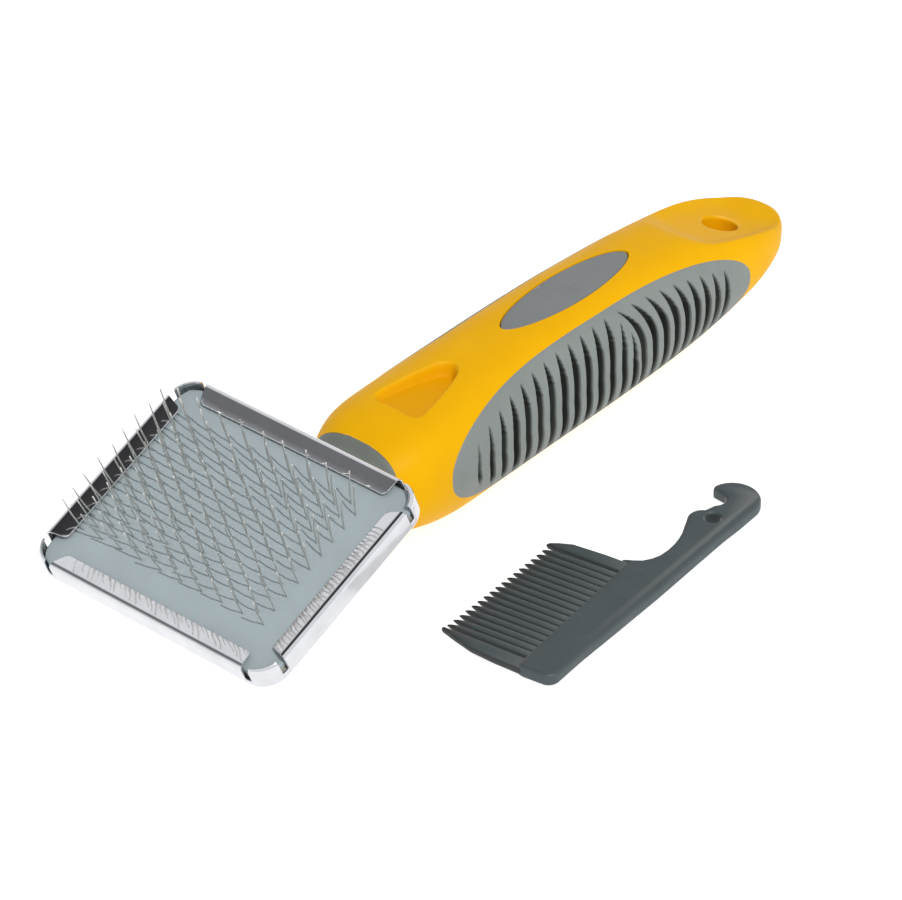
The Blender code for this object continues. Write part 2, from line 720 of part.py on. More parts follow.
def build():
    clear_scene()
    brush = add_frame("brush", Matrix.Translation(ORIGIN_SHIFT))
    tilt = Matrix.Rotation(-HEAD_TILT, 4, "Y")
    head = add_frame("head", Matrix.Translation(ORIGIN_SHIFT + HEAD_CENTRE) @ tilt)
    turn = Matrix.Rotation(COMB_TURN, 4, "Z")
    table = add_frame("comb_place", Matrix.Translation(ORIGIN_SHIFT + COMB_PLACE) @ turn)
    make_tray(head)
    make_rivets(head)
    make_cushion(head)
    for row in range(PIN_ROWS):
        make_pin_row(head, row)
    make_neck(brush, head)
    make_handle(brush)
    make_grip(brush, 1, "left")
    make_grip(brush, -1, "right")
    make_badge(brush)
    make_comb(table)


build()
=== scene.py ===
"""Looks of the slicker brush and its cleaning comb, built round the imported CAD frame.

Lengths are millimetres in the brush's own frame (x from head to tail, y left, z up) until a mesh is made.
"""

from math import cos, pi, radians, sin

import bmesh
import bpy
import numpy as np
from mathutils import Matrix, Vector


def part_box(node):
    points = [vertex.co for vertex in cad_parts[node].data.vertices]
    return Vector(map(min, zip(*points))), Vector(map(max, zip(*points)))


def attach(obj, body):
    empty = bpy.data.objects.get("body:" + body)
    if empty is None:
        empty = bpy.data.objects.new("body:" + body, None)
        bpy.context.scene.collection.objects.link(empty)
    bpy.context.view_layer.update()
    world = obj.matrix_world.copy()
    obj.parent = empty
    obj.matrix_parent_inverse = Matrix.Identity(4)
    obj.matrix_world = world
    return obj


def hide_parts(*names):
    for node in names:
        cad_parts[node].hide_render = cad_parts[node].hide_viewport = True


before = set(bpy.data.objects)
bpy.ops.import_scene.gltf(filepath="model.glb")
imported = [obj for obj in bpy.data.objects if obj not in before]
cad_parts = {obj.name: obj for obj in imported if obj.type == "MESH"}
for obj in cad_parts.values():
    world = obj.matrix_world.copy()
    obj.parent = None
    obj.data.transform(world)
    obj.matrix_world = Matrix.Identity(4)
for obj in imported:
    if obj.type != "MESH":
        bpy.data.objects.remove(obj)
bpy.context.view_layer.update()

MM = 0.001
handle_low, handle_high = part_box("handle_body")
TAIL_X = 179.8
SHIFT = np.array([handle_high.x / MM - TAIL_X, (handle_low.y + handle_high.y) / 2 / MM, 0.0])

HEAD_TILT = radians(23.25)
HEAD_CENTRE = np.array([1.9, 0.0, 20.9])
HEAD_X = np.array([cos(HEAD_TILT), 0.0, sin(HEAD_TILT)])
HEAD_Z = np.array([-sin(HEAD_TILT), 0.0, cos(HEAD_TILT)])
TRAY_LENGTH, TRAY_WIDTH, SHEET, SHEET_EDGE = 52.4, 66.0, 0.5, 0.16
BEND_RADIUS, RIM_RADIUS, WALL_TOP = 1.6, 1.1, 5.3
FLANGE_SLOPE, FLANGE_REACH = radians(19.0), 3.4
CORNER_RADIUS, CORNER_NOTCH, NOTCH_FLANK = 6.0, radians(12.0), radians(4.0)
LIP_BEND_HEIGHT, LIP_RADIUS, LIP_STEPS = 5.2, 1.35, 16
LOW_WALL_TOP, FLANGE_GAP, FLANGE_CUT_BACK = 2.6, 0.3, 0.3
FLANGE_END = ((0.0, 0.95), (0.06, 0.62), (0.18, 0.36), (0.38, 0.17), (0.62, 0.05), (0.95, 0.0))

UNDERLAY_LOW, UNDERLAY_HIGH, FACE_LOW, FACE_HIGH = 0.8, 2.6, 2.9, 4.2
FACE_CROWN = 0.55
CUSHION_INSET, CUSHION_CORNER, SHOULDER_DROP, SHOULDER_WIDTH = 0.95, 5.1, 0.45, 0.7
DIMPLE_DEPTH, DIMPLE_RADIUS, SWELL_DEPTH, SWELL_RADIUS, SWELL_WIDTH = 0.16, 0.55, 0.05, 1.0, 0.45
PIN_ROWS, PIN_PITCH, LONG_ROW = 18, 5.56, 10
FIELD_FRONT, FIELD_REAR, FIELD_MIDDLE_Y = -14.8, 17.1, 2.45
WIRE, RAIL_Z, PIN_KNEE, PIN_TIP, PIN_CRANK, PIN_SPLAY = 0.33, 3.3, 9.2, 13.8, 0.40, 150.0
WIRE_STRAY, WIRE_TWIST, WIRE_RISE, SEED = 0.027, 0.05, 0.22, 20240

# Stations are (x, half width, top, bottom).
COLLAR_STATIONS = (
    (8.0, 9.0, 22.0, 16.0), (16.0, 11.5, 26.0, 11.5), (26.0, 12.0, 28.4, 7.4),
    (34.0, 11.0, 25.6, 5.8), (38.0, 10.7, 24.0, 6.2), (40.6, 11.5, 24.3, 5.4),
    (42.4, 13.4, 26.1, 3.8),
)
COLLAR_SIDES, COLLAR_FULLNESS = 72, 2.2
PLATE_FRONT, PLATE_REAR, PLATE_HALF, PLATE_CORNER, PLATE_TOP = -4.0, 14.0, 8.0, 8.0, -0.3
CUFF_END, CUFF_BLEND, MOUTH_LEAN, MOUTH_RUN = 40.5, 4.6, 3.0, 7.0
HANDLE_STATIONS = (
    (37.0, 10.8, 23.6, 6.0), (38.2, 11.3, 24.1, 5.6), (39.6, 12.4, 25.1, 4.7),
    (41.6, 13.6, 26.2, 3.8), (44.0, 14.6, 27.2, 2.9), (47.5, 15.5, 28.2, 2.0),
    (53.0, 16.0, 29.0, 0.7), (60.0, 16.0, 29.4, 0.0), (70.0, 15.7, 30.1, 0.0),
    (80.0, 15.3, 30.8, 0.0), (95.0, 14.9, 31.5, 0.0), (110.0, 14.5, 31.8, 0.0),
    (118.0, 14.3, 31.6, 0.2), (130.0, 14.1, 31.1, 0.9), (140.0, 13.9, 30.3, 1.9),
    (150.0, 13.8, 28.9, 4.0), (160.0, 13.4, 27.2, 6.8), (168.0, 11.7, 25.0, 10.1),
    (174.0, 8.3, 23.2, 13.1), (177.5, 5.0, 21.0, 14.5), (179.2, 2.5, 18.9, 15.5),
    (179.8, 1.0, 17.7, 16.3),
)
UPPER_FULLNESS, LOWER_FULLNESS, BELLY_CUT = 2.7, 2.05, 1.045
PROFILE_STEP, PROFILE_BLUR, HANDLE_SIDES, TAIL_TURN = 0.2, 2.8, 300, 172.0
SCOOP_START, SCOOP_END, SCOOP_TOP, SCOOP_LOW, SCOOP_POWER = 141.0, 180.0, 30.4, 21.0, 1.4
SCOOP_DISH, SCOOP_FADE = 1.6, 9.0
HOLE_X, HOLE_RADIUS = 161.6, 4.0
HOLE_EDGE = ((1.1, 0.7), (0.55, 0.0), (0.30, -0.12), (0.12, -0.32), (0.03, -0.6), (0.0, -1.0))
POCKET_FRONT, POCKET_REAR, POCKET_HALF, POCKET_NARROW, POCKET_FLOOR = 50.7, 70.9, 6.9, 2.3, 27.0
POCKET_BOW, POCKET_BOW_X, POCKET_BOW_REACH, POCKET_WALL = 0.7, 60.5, 10.0, 1.25
BADGE_X, BADGE_LENGTH, BADGE_WIDTH, BADGE_POWER, BADGE_FLOOR = 107.2, 20.7, 5.4, 1.9, 29.4
GRIP_X, GRIP_LENGTH, GRIP_Z, GRIP_HEIGHT, GRIP_POWER = 103.8, 52.2, 16.4, 13.3, 2.4
RECESS_DEPTH, RECESS_RIM, RECESS_WALL, GRIP_COLUMNS, GRIP_ROWS = 4.2, 0.4, 1.9, 640, 84
FRONT_GROOVES = [60.5 + 4.17 * k for k in range(13)]
SPLIT_GROOVE = 114.3
REAR_GROOVES = [117.4 + 4.1 * k - 0.045 * k * k for k in range(9)]
FRONT_DEPTH, REAR_DEPTH, FULL_GROOVE, GROOVE_TOP = 3.0, 2.3, 98.0, 46.0

COMB_PLACE, COMB_TURN = np.array([29.2, -55.2, 0.0]), radians(7.4)
COMB_THICKNESS, COMB_TEETH, TOOTH_PITCH, FIRST_TOOTH = 3.0, 17, 2.06, 2.0
LONG_TOOTH, TOOTH_FALL, TOOTH_ROOT, COMB_EDGE = 20.4, 2.0, 1.5, 0.8
COMB_BORE, BORE_SIDES = (63.5, -6.0), 48
BORE_PROFILE = (
    (2.0, -0.3), (1.85, 0.0), (1.74, 0.25), (1.7, 0.5), (1.7, 2.4), (1.82, 2.7), (2.15, 3.0), (2.7, 3.3)
)

VIEW_AZIMUTH, VIEW_ELEVATION = radians(-48.89), radians(34.27)
VIEW_TARGET, VIEW_DISTANCE, VIEW_LENS, VIEW_SHIFT = (60.0, 0.0, 10.0), 1.0, 188.4, (0.0334, 0.0144)
KEY_ENERGY, KEY_SIZE, KEY_FROM = 2.03, radians(0.9), (-0.308, -0.573, 0.759)
WALLS, WALLS_ON_DIFFUSE, FLOOR_GLOW = (0.97, 0.975, 1.0), 0.55, 0.84


# ---- small helpers


def smoothstep(t):
    t = np.clip(t, 0.0, 1.0)
    return t * t * (3 - 2 * t)


def soft_min(a, b, reach):
    """The smaller of two values, rounded over where they come within reach of each other."""
    mix = np.clip(0.5 + 0.5 * (b - a) / reach, 0.0, 1.0)
    return b + (a - b) * mix - reach * mix * (1 - mix)


def soft_max(a, b, reach):
    return -soft_min(-a, -b, reach)


def rounded(wave, power):
    """A sine or cosine bent so that the oval which it draws turns squarer with power."""
    return np.sign(wave) * np.abs(wave) ** (2 / power)


def between_stations(stations, x):
    """Values between stations (x, value, ...) on monotone cubic curves."""
    table = np.array(stations)
    places, values = table[:, 0], table[:, 1:]
    steep = np.diff(values, axis=0) / np.diff(places)[:, None]
    before, after = steep[:-1], steep[1:]
    same = before * after > 0
    inner = np.where(same, 2 * before * after / np.where(same, before + after, 1.0), 0.0)
    slopes = np.concatenate([steep[:1], inner, steep[-1:]])
    x = min(max(x, places[0]), places[-1])
    i = min(np.searchsorted(places, x, side="right") - 1, len(places) - 2)
    width = places[i + 1] - places[i]
    t = (x - places[i]) / width
    return (
        values[i] * (1 + 2 * t) * (1 - t) ** 2
        + slopes[i] * width * t * (1 - t) ** 2
        + values[i + 1] * t * t * (3 - 2 * t)
        + slopes[i + 1] * width * t * t * (t - 1)
    )


def grid_faces(rows, columns, start=0, wrap=False):
    """Quads over points laid out row by row; wrap closes each row."""
    faces = []
    last = columns if wrap else columns - 1
    for r in range(rows - 1):
        for c in range(last):
            d = (c + 1) % columns
            a = start + r * columns
            faces.append((a + c, a + d, a + columns + d, a + columns + c))
    return faces


def capped(rings):
    """Points and faces of a closed shape through rings of one length, with flat ends."""
    count = len(rings[0])
    points = np.concatenate(rings)
    faces = grid_faces(len(rings), count, wrap=True)
    faces += [tuple(range(count)), tuple(range(len(points) - count, len(points)))]
    return points, faces


def fan(first, count, apex):
    """Triangles between the ring that starts at first and one point."""
    return [(first + i, first + (i + 1) % count, apex) for i in range(count)]


def merged(pieces):
    """Points and faces of several closed shapes as one."""
    parts, faces, start = [], [], 0
    for points, own in pieces:
        parts.append(points)
        faces += [tuple(i + start for i in face) for face in own]
        start += len(points)
    return np.concatenate(parts), faces


def new_object(name, data):
    obj = bpy.data.objects.new(name, data)
    bpy.context.scene.collection.objects.link(obj)
    return obj


def solid(name, points, faces):
    """A mesh object from points in millimetres, with its faces turned outward."""
    mesh = bpy.data.meshes.new(name)
    world = (np.asarray(points, float) + SHIFT) * MM
    mesh.from_pydata([tuple(p) for p in world], [], faces)
    mesh.validate()
    bm = bmesh.new()
    bm.from_mesh(mesh)
    bmesh.ops.recalc_face_normals(bm, faces=bm.faces)
    bm.to_mesh(mesh)
    bm.free()
    return new_object(name, mesh)


def add_mesh(obj, other):
    """Put other's mesh into obj as further closed shells, and remove other."""
    bm = bmesh.new()
    bm.from_mesh(obj.data)
    bm.from_mesh(other.data)
    bm.to_mesh(obj.data)
    bm.free()
    bpy.data.objects.remove(other, do_unlink=True)


def settle(obj):
    """Apply the object's modifiers to its mesh."""
    graph = bpy.context.evaluated_depsgraph_get()
    mesh = bpy.data.meshes.new_from_object(obj.evaluated_get(graph))
    obj.modifiers.clear()
    obj.data = mesh
    return obj


def subtract(obj, tool):
    """Cut tool out of obj, and remove tool."""
    modifier = obj.modifiers.new("cut", "BOOLEAN")
    modifier.operation, modifier.solver, modifier.object = "DIFFERENCE", "EXACT", tool
    settle(obj)
    bpy.data.objects.remove(tool, do_unlink=True)


def bevel(obj, width, segments, angle):
    """Round the edges sharper than angle, in degrees."""
    modifier = obj.modifiers.new("bevel", "BEVEL")
    modifier.width, modifier.segments = width * MM, segments
    modifier.limit_method, modifier.angle_limit = "ANGLE", radians(angle)
    modifier.use_clamp_overlap = False
    return settle(obj)


def finish_piece(obj, body, surface, nodes, sharp):
    """Shading, material, body, and the CAD nodes that the piece stands for."""
    obj.data.shade_smooth()
    obj.data.set_sharp_from_angle(angle=radians(sharp))
    obj.data.materials.clear()
    obj.data.materials.append(surface)
    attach(obj, body)
    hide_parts(*nodes)
    return obj


def from_head(points):
    """Head frame (x towards the handle, y left, z out of the pad) to the brush's frame."""
    return np.asarray(points, float) @ np.array([HEAD_X, (0.0, 1.0, 0.0), HEAD_Z]) + HEAD_CENTRE


def from_comb(points):
    """Comb frame (p along its back, q along its teeth, z up) to the brush's frame."""
    c, s = cos(COMB_TURN), sin(COMB_TURN)
    return np.asarray(points, float) @ np.array([(c, s, 0.0), (-s, c, 0.0), (0.0, 0.0, 1.0)]) + COMB_PLACE


def arc(centre, radius, start, end, steps):
    """Points on an arc, with its angles in degrees."""
    turns = [radians(start + (end - start) * k / steps) for k in range(steps + 1)]
    return [(centre[0] + radius * cos(t), centre[1] + radius * sin(t)) for t in turns]


# ---- materials


def new_material(name):
    made = bpy.data.materials.new(name)
    made.use_nodes = True
    tree = made.node_tree
    shader = tree.nodes["Principled BSDF"]
    return made, tree, shader


def feed(tree, sockets, values):
    """Give each socket its value: a number, a colour, or another node's output to link."""
    for socket, value in zip(sockets, values):
        if isinstance(value, (int, float)):
            socket.default_value = value
        elif isinstance(value, tuple):
            socket.default_value = (*value, 1.0)
        else:
            tree.links.new(value, socket)


def preset(tree, node, **values):
    """Feed a node's inputs by name, with _ for each space."""
    feed(tree, [node.inputs[name.replace("_", " ")] for name in values], values.values())


def noise(tree, scale, detail, roughness=0.55, stretch=None):
    """Noise in object space; scale is features per metre, stretch scales the three axes."""
    place = tree.nodes.new("ShaderNodeTexCoord")
    made = tree.nodes.new("ShaderNodeTexNoise")
    source = place.outputs["Object"]
    if stretch:
        mapping = tree.nodes.new("ShaderNodeMapping")
        mapping.inputs["Scale"].default_value = stretch
        tree.links.new(source, mapping.inputs["Vector"])
        source = mapping.outputs["Vector"]
    preset(tree, made, Vector=source, Scale=scale, Detail=detail, Roughness=roughness)
    return made.outputs["Fac"]


def ramp(tree, value, stops):
    """A colour ramp over value; stops are (position, colour)."""
    made = tree.nodes.new("ShaderNodeValToRGB")
    elements = made.color_ramp.elements
    while len(elements) < len(stops):
        elements.new(0.5)
    for element, (position, colour) in zip(elements, stops):
        element.position = position
        element.color = (*colour, 1.0)
    tree.links.new(value, made.inputs["Fac"])
    return made.outputs["Color"]


def span(tree, value, low, high, to_low, to_high):
    """Value mapped from low..high to to_low..to_high, and held at the ends."""
    made = tree.nodes.new("ShaderNodeMapRange")
    feed(tree, made.inputs[:5], (value, low, high, to_low, to_high))
    return made.outputs["Result"]


def math_node(tree, operation, first, second):
    made = tree.nodes.new("ShaderNodeMath")
    made.operation = operation
    feed(tree, made.inputs, (first, second))
    return made.outputs["Value"]


def mix_colours(tree, factor, first, second):
    made = tree.nodes.new("ShaderNodeMix")
    made.data_type = "RGBA"
    feed(tree, (made.inputs[0], made.inputs[6], made.inputs[7]), (factor, first, second))
    return made.outputs[2]


def bump(tree, shader, height, distance, strength=1.0):
    """Bump from a height, over the bump that the shader already has."""
    made = tree.nodes.new("ShaderNodeBump")
    preset(tree, made, Height=height, Distance=distance * MM, Strength=strength)
    normal = shader.inputs["Normal"]
    if normal.is_linked:
        tree.links.new(normal.links[0].from_socket, made.inputs["Normal"])
    tree.links.new(made.outputs["Normal"], normal)


def moulded(name, colour, roughness, specular, shade, grain, grain_scale=2600.0, worn=None):
    """Moulded plastic or rubber: cloudy colour, fine grain, faint marks and lighter worn edges."""
    made, tree, shader = new_material(name)
    cloud = noise(tree, 95.0, 4.0)
    dark = tuple(c * (1 - shade) for c in colour)
    light = tuple(min(1.0, c * (1 + shade * 0.6)) for c in colour)
    tone = ramp(tree, cloud, ((0.3, dark), (0.7, light)))
    speck = noise(tree, grain_scale * 0.55, 2.0, 0.7)
    tone = mix_colours(tree, span(tree, speck, 0.35, 0.65, 0.0, 0.10), tone, dark)
    if worn:
        edges = tree.nodes.new("ShaderNodeNewGeometry").outputs["Pointiness"]
        tone = mix_colours(tree, span(tree, edges, 0.53, 0.62, 0.0, 1.0), tone, worn)
    handled = noise(tree, 240.0, 5.0, 0.6)
    rough = span(tree, handled, 0.3, 0.7, roughness * 0.86, min(1.0, roughness * 1.16))
    preset(tree, shader, Base_Color=tone, Roughness=rough, Specular_IOR_Level=specular)
    bump(tree, shader, noise(tree, grain_scale, 2.0, 0.6), grain)
    scuffs = noise(tree, 700.0, 2.0, 0.5, stretch=(0.25, 1.6, 1.2))
    bump(tree, shader, span(tree, scuffs, 0.60, 0.72, 0.0, 1.0), grain * 0.5, 0.5)
    return made


def polished_metal(name, colour, roughness, smudge, scratch, wave=0.0):
    """Plated or drawn metal: smudged roughness, hair scratches and, on sheet, slight waviness."""
    made, tree, shader = new_material(name)
    dull = tuple(c * 0.90 for c in colour)
    tone = ramp(tree, noise(tree, 130.0, 5.0, 0.6), ((0.32, dull), (0.62, colour)))
    hand = span(tree, noise(tree, 170.0, 6.0, 0.65), 0.42, 0.68, 0.0, 1.0)
    lines = noise(tree, 900.0, 2.0, 0.6, stretch=(0.12, 1.7, 1.0))
    hair = span(tree, lines, 0.60, 0.70, 0.0, 1.0)
    total = math_node(tree, "MULTIPLY", hand, smudge)
    total = math_node(tree, "ADD", total, math_node(tree, "MULTIPLY", hair, scratch))
    total = math_node(tree, "ADD", total, roughness)
    preset(tree, shader, Base_Color=tone, Metallic=1.0, Roughness=total)
    bump(tree, shader, hair, 0.004, 0.5)
    if wave:
        bump(tree, shader, noise(tree, 75.0, 2.0, 0.5), wave)
    return made


def felt(name, colour):
    """Matted fibres: two stretched noises crossing each other, with a soft sheen."""
    made, tree, shader = new_material(name)
    first = noise(tree, 1500.0, 4.0, 0.7, stretch=(0.25, 1.5, 1.0))
    second = noise(tree, 1500.0, 4.0, 0.7, stretch=(1.5, 0.25, 1.0))
    fibres = math_node(tree, "MAXIMUM", first, second)
    dark, light = (tuple(c * share for c in colour) for share in (0.6, 1.15))
    tone = ramp(tree, fibres, ((0.35, dark), (0.75, light)))
    preset(tree, shader, Base_Color=tone, Roughness=0.95, Sheen_Weight=0.4)
    bump(tree, shader, fibres, 0.12)
    return made


def painted_shade_tint(material, low, high, most, colour):
    """Painted shade: another, darker colour where the mesh's "hollow" value is high: in grooves, between
    teeth, in the pocket.
    """
    tree, shader = material.node_tree, material.node_tree.nodes["Principled BSDF"]
    depth = tree.nodes.new("ShaderNodeAttribute")
    depth.attribute_name = "hollow"
    amount = span(tree, depth.outputs["Fac"], low, high, 0.0, most)
    plain = shader.inputs["Base Color"].links[0].from_socket
    preset(tree, shader, Base_Color=mix_colours(tree, amount, plain, colour))


def set_shade_depth(obj, values):
    """How deep each vertex lies in a hollow; the material darkens deeper vertices as painted shade."""
    layer = obj.data.attributes.new("hollow", "FLOAT", "POINT")
    layer.data.foreach_set("value", np.asarray(values, np.float32))


# Each: name, colour, roughness, specular level, depth of the clouds, height of the grain.
YELLOW = moulded("yellow_moulding", (0.79, 0.406, 0.0002), 0.46, 0.07, 0.035, 0.006, worn=(0.86, 0.47, 0.05))
GRIP = moulded("grip_elastomer", (0.218, 0.243, 0.230), 0.62, 0.28, 0.08, 0.016, worn=(0.33, 0.35, 0.34))
NECK = moulded("neck_moulding", (0.150, 0.166, 0.150), 0.50, 0.40, 0.08, 0.010, worn=(0.25, 0.26, 0.25))
BADGE = moulded("badge_inlay", (0.185, 0.200, 0.200), 0.55, 0.35, 0.06, 0.010, worn=(0.26, 0.27, 0.27))
COMB = moulded("comb_moulding", (0.053, 0.069, 0.075), 0.48, 0.36, 0.10, 0.010, worn=(0.12, 0.13, 0.13))
PAD = moulded("pad_rubber", (0.345, 0.408, 0.428), 0.58, 0.30, 0.05, 0.014, grain_scale=3200.0)
CHROME = polished_metal("chrome_sheet", (0.68, 0.685, 0.705), 0.040, 0.05, 0.06, wave=0.22)
STEEL = polished_metal("pin_wire", (0.63, 0.62, 0.59), 0.42, 0.10, 0.08)
RIVET = polished_metal("rivet_steel", (0.55, 0.55, 0.54), 0.33, 0.12, 0.10)
FELT = felt("underlay_felt", (0.46, 0.45, 0.40))
# Painted shade: near-black colour deep in the grip grooves.
painted_shade_tint(GRIP, 0.03, 0.28, 0.96, (0.014, 0.017, 0.014))
# Painted shade: near-black between the comb's teeth and in its bore.
painted_shade_tint(COMB, 0.0, 0.8, 0.85, (0.010, 0.013, 0.013))
# Painted shade: darker orange in the thumb pocket.
painted_shade_tint(YELLOW, 0.1, 0.95, 0.38, (0.62, 0.235, 0.0004))


# ---- head: tray


def sheet_path(kind, reach):
    """Middle line of the bent sheet as (distance from the outer face, height): low wall, then the rest."""
    half = SHEET / 2
    low = [(2.6 * BEND_RADIUS, half)]
    low += arc((BEND_RADIUS, BEND_RADIUS), BEND_RADIUS - half, -90, -180, 8)
    low.append((half, LOW_WALL_TOP))
    if kind == "low":
        return low, []
    if kind == "lip":
        curl = arc((LIP_RADIUS, LIP_BEND_HEIGHT), LIP_RADIUS - half, 180, 108, 7)
        return low, [(half, 4.0)] + curl
    high = arc((RIM_RADIUS, WALL_TOP), RIM_RADIUS - half, 180, 90 - np.degrees(FLANGE_SLOPE), 12)
    end_x, end_z = high[-1]
    for share in (0.5, 1.0):
        run = reach * share
        high.append((end_x + run * cos(FLANGE_SLOPE), end_z - run * sin(FLANGE_SLOPE)))
    return low, high


def sheet_faces(path):
    """The path moved to the inner and to the outer face of the sheet."""
    inner, outer = [], []
    for i, (x, z) in enumerate(path):
        before, after = path[max(i - 1, 0)], path[min(i + 1, len(path) - 1)]
        along = Vector((after[0] - before[0], after[1] - before[1])).normalized()
        offset = Vector((-along.y, along.x)) * (SHEET / 2)
        inner.append((x + offset.x, z + offset.y))
        outer.append((x - offset.x, z - offset.y))
    return inner, outer


def flange_end(centre, way, angle):
    """Stations of a flange's rounded end, from its corner inwards."""
    points = [(centre + way * (FLANGE_GAP + back), FLANGE_REACH - short) for back, short in FLANGE_END]
    return [(point, angle, "flange", way, reach) for point, reach in points]


def tray_stations():
    """Stations round the rim: corner point, outward angle, kind, cut-back direction, flange reach."""
    half_x, half_y = TRAY_LENGTH / 2 - CORNER_RADIUS, TRAY_WIDTH / 2 - CORNER_RADIUS
    none = Vector((0.0, 0.0))
    stations = []
    for index, (sx, sy) in enumerate(((1, 1), (-1, 1), (-1, -1), (1, -1))):
        start = pi / 2 * index
        end = start + pi / 2
        centre = Vector((sx * half_x, sy * half_y))
        before = Vector((sin(start), -cos(start)))
        after = Vector((-cos(start), -sin(start)))
        lips = np.linspace(start + CORNER_NOTCH, end - CORNER_NOTCH, LIP_STEPS + 1)
        stations += flange_end(centre, before, start)[::-1]
        for angle in (start, lips[0] - NOTCH_FLANK):
            stations.append((centre, angle, "low", none, 0))
        stations += [(centre, angle, "lip", none, 0) for angle in lips]
        for angle in (lips[-1] + NOTCH_FLANK, end):
            stations.append((centre, angle, "low", none, 0))
        stations += flange_end(centre, after, end)
    return stations


def station_points(bm, corner, angle, kind, cut_back, reach):
    """Vertices of one station: inner face low and high, outer face low and high."""
    outward = Vector((cos(angle), sin(angle)))
    low, high = sheet_path(kind, reach)
    rows = []
    for points in sheet_faces(low + high):
        row = []
        for d, z in points:
            point = corner + outward * (CORNER_RADIUS - d)
            if z > LOW_WALL_TOP - 0.1:
                point += cut_back * d * FLANGE_CUT_BACK
            row.append(bm.verts.new((point.x, point.y, z)))
        rows += [row[: len(low)], row[len(low) :]]
    return rows


def tray_shell():
    """The bent sheet with its flanges and corner lips, with every edge of the sheet rounded over."""
    bm = bmesh.new()
    rows = [station_points(bm, *station) for station in tray_stations()]
    for k, near_row in enumerate(rows):
        far_row = rows[(k + 1) % len(rows)]
        if len(near_row[1]) == len(far_row[1]):
            strips = [(near_row[i] + near_row[i + 1], far_row[i] + far_row[i + 1]) for i in (0, 2)]
        else:
            strips = [(near_row[i], far_row[i]) for i in (0, 2)]
            raised = near_row if near_row[1] else far_row
            bm.faces.new([raised[0][-1], *raised[1], *raised[3][::-1], raised[2][-1]])
        for near, far in strips:
            for i in range(len(near) - 1):
                bm.faces.new((near[i], near[i + 1], far[i + 1], far[i]))
        (near_in, far_in), (near_out, far_out) = strips
        bm.faces.new((near_in[-1], near_out[-1], far_out[-1], far_in[-1]))
    bm.faces.new([row[0][0] for row in rows])
    bm.faces.new([row[2][0] for row in rows])
    bmesh.ops.recalc_face_normals(bm, faces=bm.faces)
    bm.verts.index_update()
    points = from_head([v.co[:] for v in bm.verts])
    faces = [tuple(v.index for v in face.verts) for face in bm.faces]
    bm.free()
    tray = bevel(solid("tray_shell", points, faces), SHEET_EDGE, 3, 40)
    return finish_piece(tray, "brush", CHROME, ["tray"], sharp=35)


# ---- head: cushion and pins


def row_x(row):
    return FIELD_FRONT + (FIELD_REAR - FIELD_FRONT) * row / (PIN_ROWS - 1)


def row_pins(row):
    count = LONG_ROW - row % 2
    first = FIELD_MIDDLE_Y - PIN_PITCH * (count - 1) / 2
    return [first + PIN_PITCH * k for k in range(count)]


def cushion_solid(name, low, high, crown, dimples):
    """A pad filling the tray: crowned top, rounded shoulder, sides that pull in a little.

    With dimples, every pin sits in a small dent with a faint swelling round it."""
    half_x, half_y = TRAY_LENGTH / 2 - CUSHION_INSET, TRAY_WIDTH / 2 - CUSHION_INSET
    step = 0.4 if dimples else 0.9
    nx, ny = int(2 * half_x / step) + 1, int(2 * half_y / step) + 1
    u, v = np.meshgrid(np.linspace(-1, 1, nx), np.linspace(-1, 1, ny), indexing="ij")
    x, y = u * half_x, v * half_y
    r = CUSHION_CORNER
    a, b = np.abs(x) - (half_x - r), np.abs(y) - (half_y - r)
    corner = (a > 0) & (b > 0)
    a, b = np.where(corner, a / r, 0), np.where(corner, b / r, 0)
    x = np.where(corner, np.sign(x) * (half_x - r + r * a * np.sqrt(1 - b * b / 2)), x)
    y = np.where(corner, np.sign(y) * (half_y - r + r * b * np.sqrt(1 - a * a / 2)), y)
    edge = np.minimum(half_x * (1 - np.abs(u)), half_y * (1 - np.abs(v)))
    shoulder = np.sqrt(np.clip(1 - (1 - np.clip(edge / SHOULDER_WIDTH, 0, 1)) ** 2, 0, 1))
    z = high - SHOULDER_DROP * (1 - shoulder) + crown * (1 - u**2) * (1 - v**2)
    if dimples:
        nearest = np.full(x.shape, 9.0)
        for row in range(PIN_ROWS):
            for pin in row_pins(row):
                nearest = np.minimum(nearest, np.hypot(x - row_x(row), y - pin))
        swell = SWELL_DEPTH * np.exp(-(((nearest - SWELL_RADIUS) / SWELL_WIDTH) ** 2))
        z -= DIMPLE_DEPTH * np.exp(-((nearest / DIMPLE_RADIUS) ** 2)) - swell
        z += 0.03 * np.sin(x * 0.9 + 1.3 * np.sin(y * 0.31)) * np.sin(y * 0.7)
    points = np.stack([x, y, z], -1).reshape(-1, 3)
    faces = grid_faces(nx, ny)
    index = np.arange(nx * ny).reshape(nx, ny)
    near = np.concatenate([index[:-1, 0], index[-1, :-1], index[:0:-1, -1], index[0, :0:-1]]).tolist()
    border, count = points[near], len(near)
    levels = (((low + high - SHOULDER_DROP) / 2, 0.12), (low + 0.2, 0.0), (low, 0.25))
    for height, pull in levels:
        far = list(range(len(points), len(points) + count))
        points = np.concatenate([points, border * (1 - pull / 25, 1 - pull / 25, 0) + (0, 0, height)])
        for k in range(count):
            j = (k + 1) % count
            faces.append((near[k], near[j], far[j], far[k]))
        near = far
    faces.append(tuple(near))
    return solid(name, from_head(points), faces)


def make_cushion():
    face = cushion_solid("pad_face_rubber", FACE_LOW, FACE_HIGH, FACE_CROWN, True)
    finish_piece(face, "brush", PAD, ["pad_face"], sharp=60)
    underlay = cushion_solid("pad_underlay_felt", UNDERLAY_LOW, UNDERLAY_HIGH, 0.1, False)
    finish_piece(underlay, "brush", FELT, ["pad_underlay"], sharp=60)


